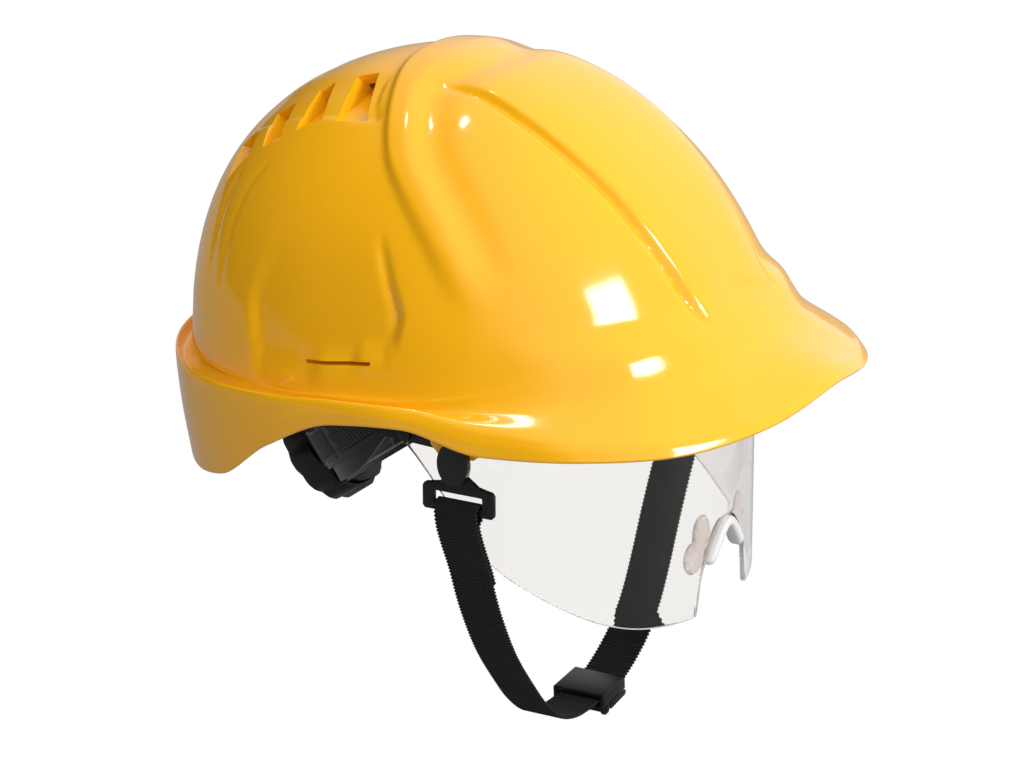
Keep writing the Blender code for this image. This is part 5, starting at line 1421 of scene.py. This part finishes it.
def finish_piece(name, ob):
    ob.data.materials.clear()
    ob.data.materials.append(by_prefix(FINISH, name, BLACK))
    width = by_prefix(BEVEL, name, SMALL_BEVEL)
    weld = ob.modifiers.new("weld", "WELD")
    weld.merge_threshold = 2e-6
    bevel = ob.modifiers.new("bevel", "BEVEL")
    bevel.width = width * MM
    bevel.segments = 3 if width > 0.4 else 2
    bevel.limit_method = "ANGLE"
    bevel.angle_limit = math.radians(35)
    bevel.use_clamp_overlap = True
    for p in ob.data.polygons:
        p.use_smooth = True


for name, ob in NODES.items():
    if not ob.hide_render:
        finish_piece(name, ob)

# ================================================================ stage, light and camera (metres)

FLOOR_Z = CROWN_Z * MM - 0.2705
VIEW_AZIMUTH, VIEW_ELEVATION, VIEW_DISTANCE = math.radians(-61), math.radians(19), 1.6
VIEW_TARGET = Vector((0, -0.016, -0.0971))


def seen_directly(tree, path):
    """1 for rays from the camera, straight or through clear pieces."""
    return calculate(tree, "MAXIMUM", path["Is Camera Ray"], path["Is Transmission Ray"])


def pale_floor():
    """Plain floor, bright to the eye and a soft grey to everything that stands over it."""
    material, tree, shader, place = new_material("floor_pale")
    patches = noise(tree, place, scale=3.0, detail=4.0)
    fill(tree, shader,
         Base_Color=ramp(tree, patches, (0.3, (0.30,) * 3), (0.7, (0.33,) * 3)),
         Roughness=0.9,
         Specular_IOR_Level=0.0,
         Emission_Color=(1, 1, 1, 1),
         Emission_Strength=0.04)
    glow = add(tree, "ShaderNodeEmission", Strength=1.0,
               Color=ramp(tree, patches, (0.3, (0.999,) * 3), (0.7, (1.01,) * 3)))
    path = add(tree, "ShaderNodeLightPath").outputs
    mix_surface(tree, seen_directly(tree, path), shader.outputs["BSDF"], glow.outputs["Emission"])
    return material


def build_floor():
    material = pale_floor()
    cells = np.linspace(-6.0, 6.0, 13)
    verts = [(float(x), float(y), FLOOR_Z) for x in cells for y in cells]
    faces = [(i * 13 + j, (i + 1) * 13 + j, (i + 1) * 13 + j + 1, i * 13 + j + 1)
             for i in range(12) for j in range(12)]
    mesh = bpy.data.meshes.new("studio_floor")
    mesh.from_pydata(verts, [], faces)
    mesh.materials.append(material)
    ob = bpy.data.objects.new("studio_floor", mesh)
    bpy.context.scene.collection.objects.link(ob)
    for p in mesh.polygons:
        p.use_smooth = True


def build_world():
    """A room bright in front to the wearer's left and overhead, dark behind to the right."""
    world = bpy.data.worlds.new("studio")
    bpy.context.scene.world = world
    world.use_nodes = True
    tree = world.node_tree
    look = add(tree, "ShaderNodeTexCoord").outputs["Generated"]
    bright_way = Vector((math.cos(VIEW_AZIMUTH), math.sin(VIEW_AZIMUTH), 0.40))

    def gradient(start, end, dark, bright):
        towards = add(tree, "ShaderNodeVectorMath", look, bright_way, operation="DOT_PRODUCT")
        node = add(tree, "ShaderNodeMapRange", interpolation_type="SMOOTHSTEP",
                   Value=towards.outputs["Value"], From_Min=start, From_Max=end,
                   To_Min=dark, To_Max=bright)
        return node.outputs["Result"]

    def switch(factor, a, b):
        node = add(tree, "ShaderNodeMix", data_type="FLOAT", Factor=factor, A=a, B=b)
        return node.outputs["Result"]

    diffuse = gradient(start=-0.55, end=0.45, dark=0.31, bright=1.26)
    mirrored = gradient(start=-0.35, end=0.30, dark=0.03, bright=0.95)
    path = add(tree, "ShaderNodeLightPath").outputs
    lit = switch(path["Is Glossy Ray"], diffuse, mirrored)
    fill(tree, tree.nodes["Background"], Color=(1.0, 1.0, 1.0, 1),
         Strength=switch(seen_directly(tree, path), lit, 1.0))


def place_camera():
    flat = math.cos(VIEW_ELEVATION)
    direction = Vector((math.sin(VIEW_AZIMUTH) * flat, -math.cos(VIEW_AZIMUTH) * flat,
                        math.sin(VIEW_ELEVATION)))
    camera = bpy.data.cameras.new("camera")
    camera.lens = 140.5
    camera.sensor_width = 36.0
    ob = bpy.data.objects.new("camera", camera)
    ob.location = VIEW_TARGET + direction * VIEW_DISTANCE
    ob.rotation_euler = (-direction).to_track_quat("-Z", "Y").to_euler()
    bpy.context.scene.collection.objects.link(ob)
    bpy.context.scene.camera = ob


def area_light(name, location, target, size, power):
    light = bpy.data.lights.new(name, "AREA")
    light.shape = "RECTANGLE"
    light.size, light.size_y = size
    light.energy = power
    ob = bpy.data.objects.new(name, light)
    ob.location = location
    aim = Vector(target) - Vector(location)
    ob.rotation_euler = aim.to_track_quat("-Z", "Y").to_euler()
    bpy.context.scene.collection.objects.link(ob)


build_floor()
build_world()
place_camera()
# a wide box in front and a small one above and behind
area_light("front_box", location=(-0.27, -1.19, 0.63), target=(-0.059, -0.091, -0.035),
           size=(0.50, 0.26), power=8.5)
area_light("crown_box", location=(0.08, 0.30, 1.17), target=(-0.049, -0.018, 0.024),
           size=(0.15, 0.09), power=0.9)
bpy.context.scene.view_settings.view_transform = "Standard"
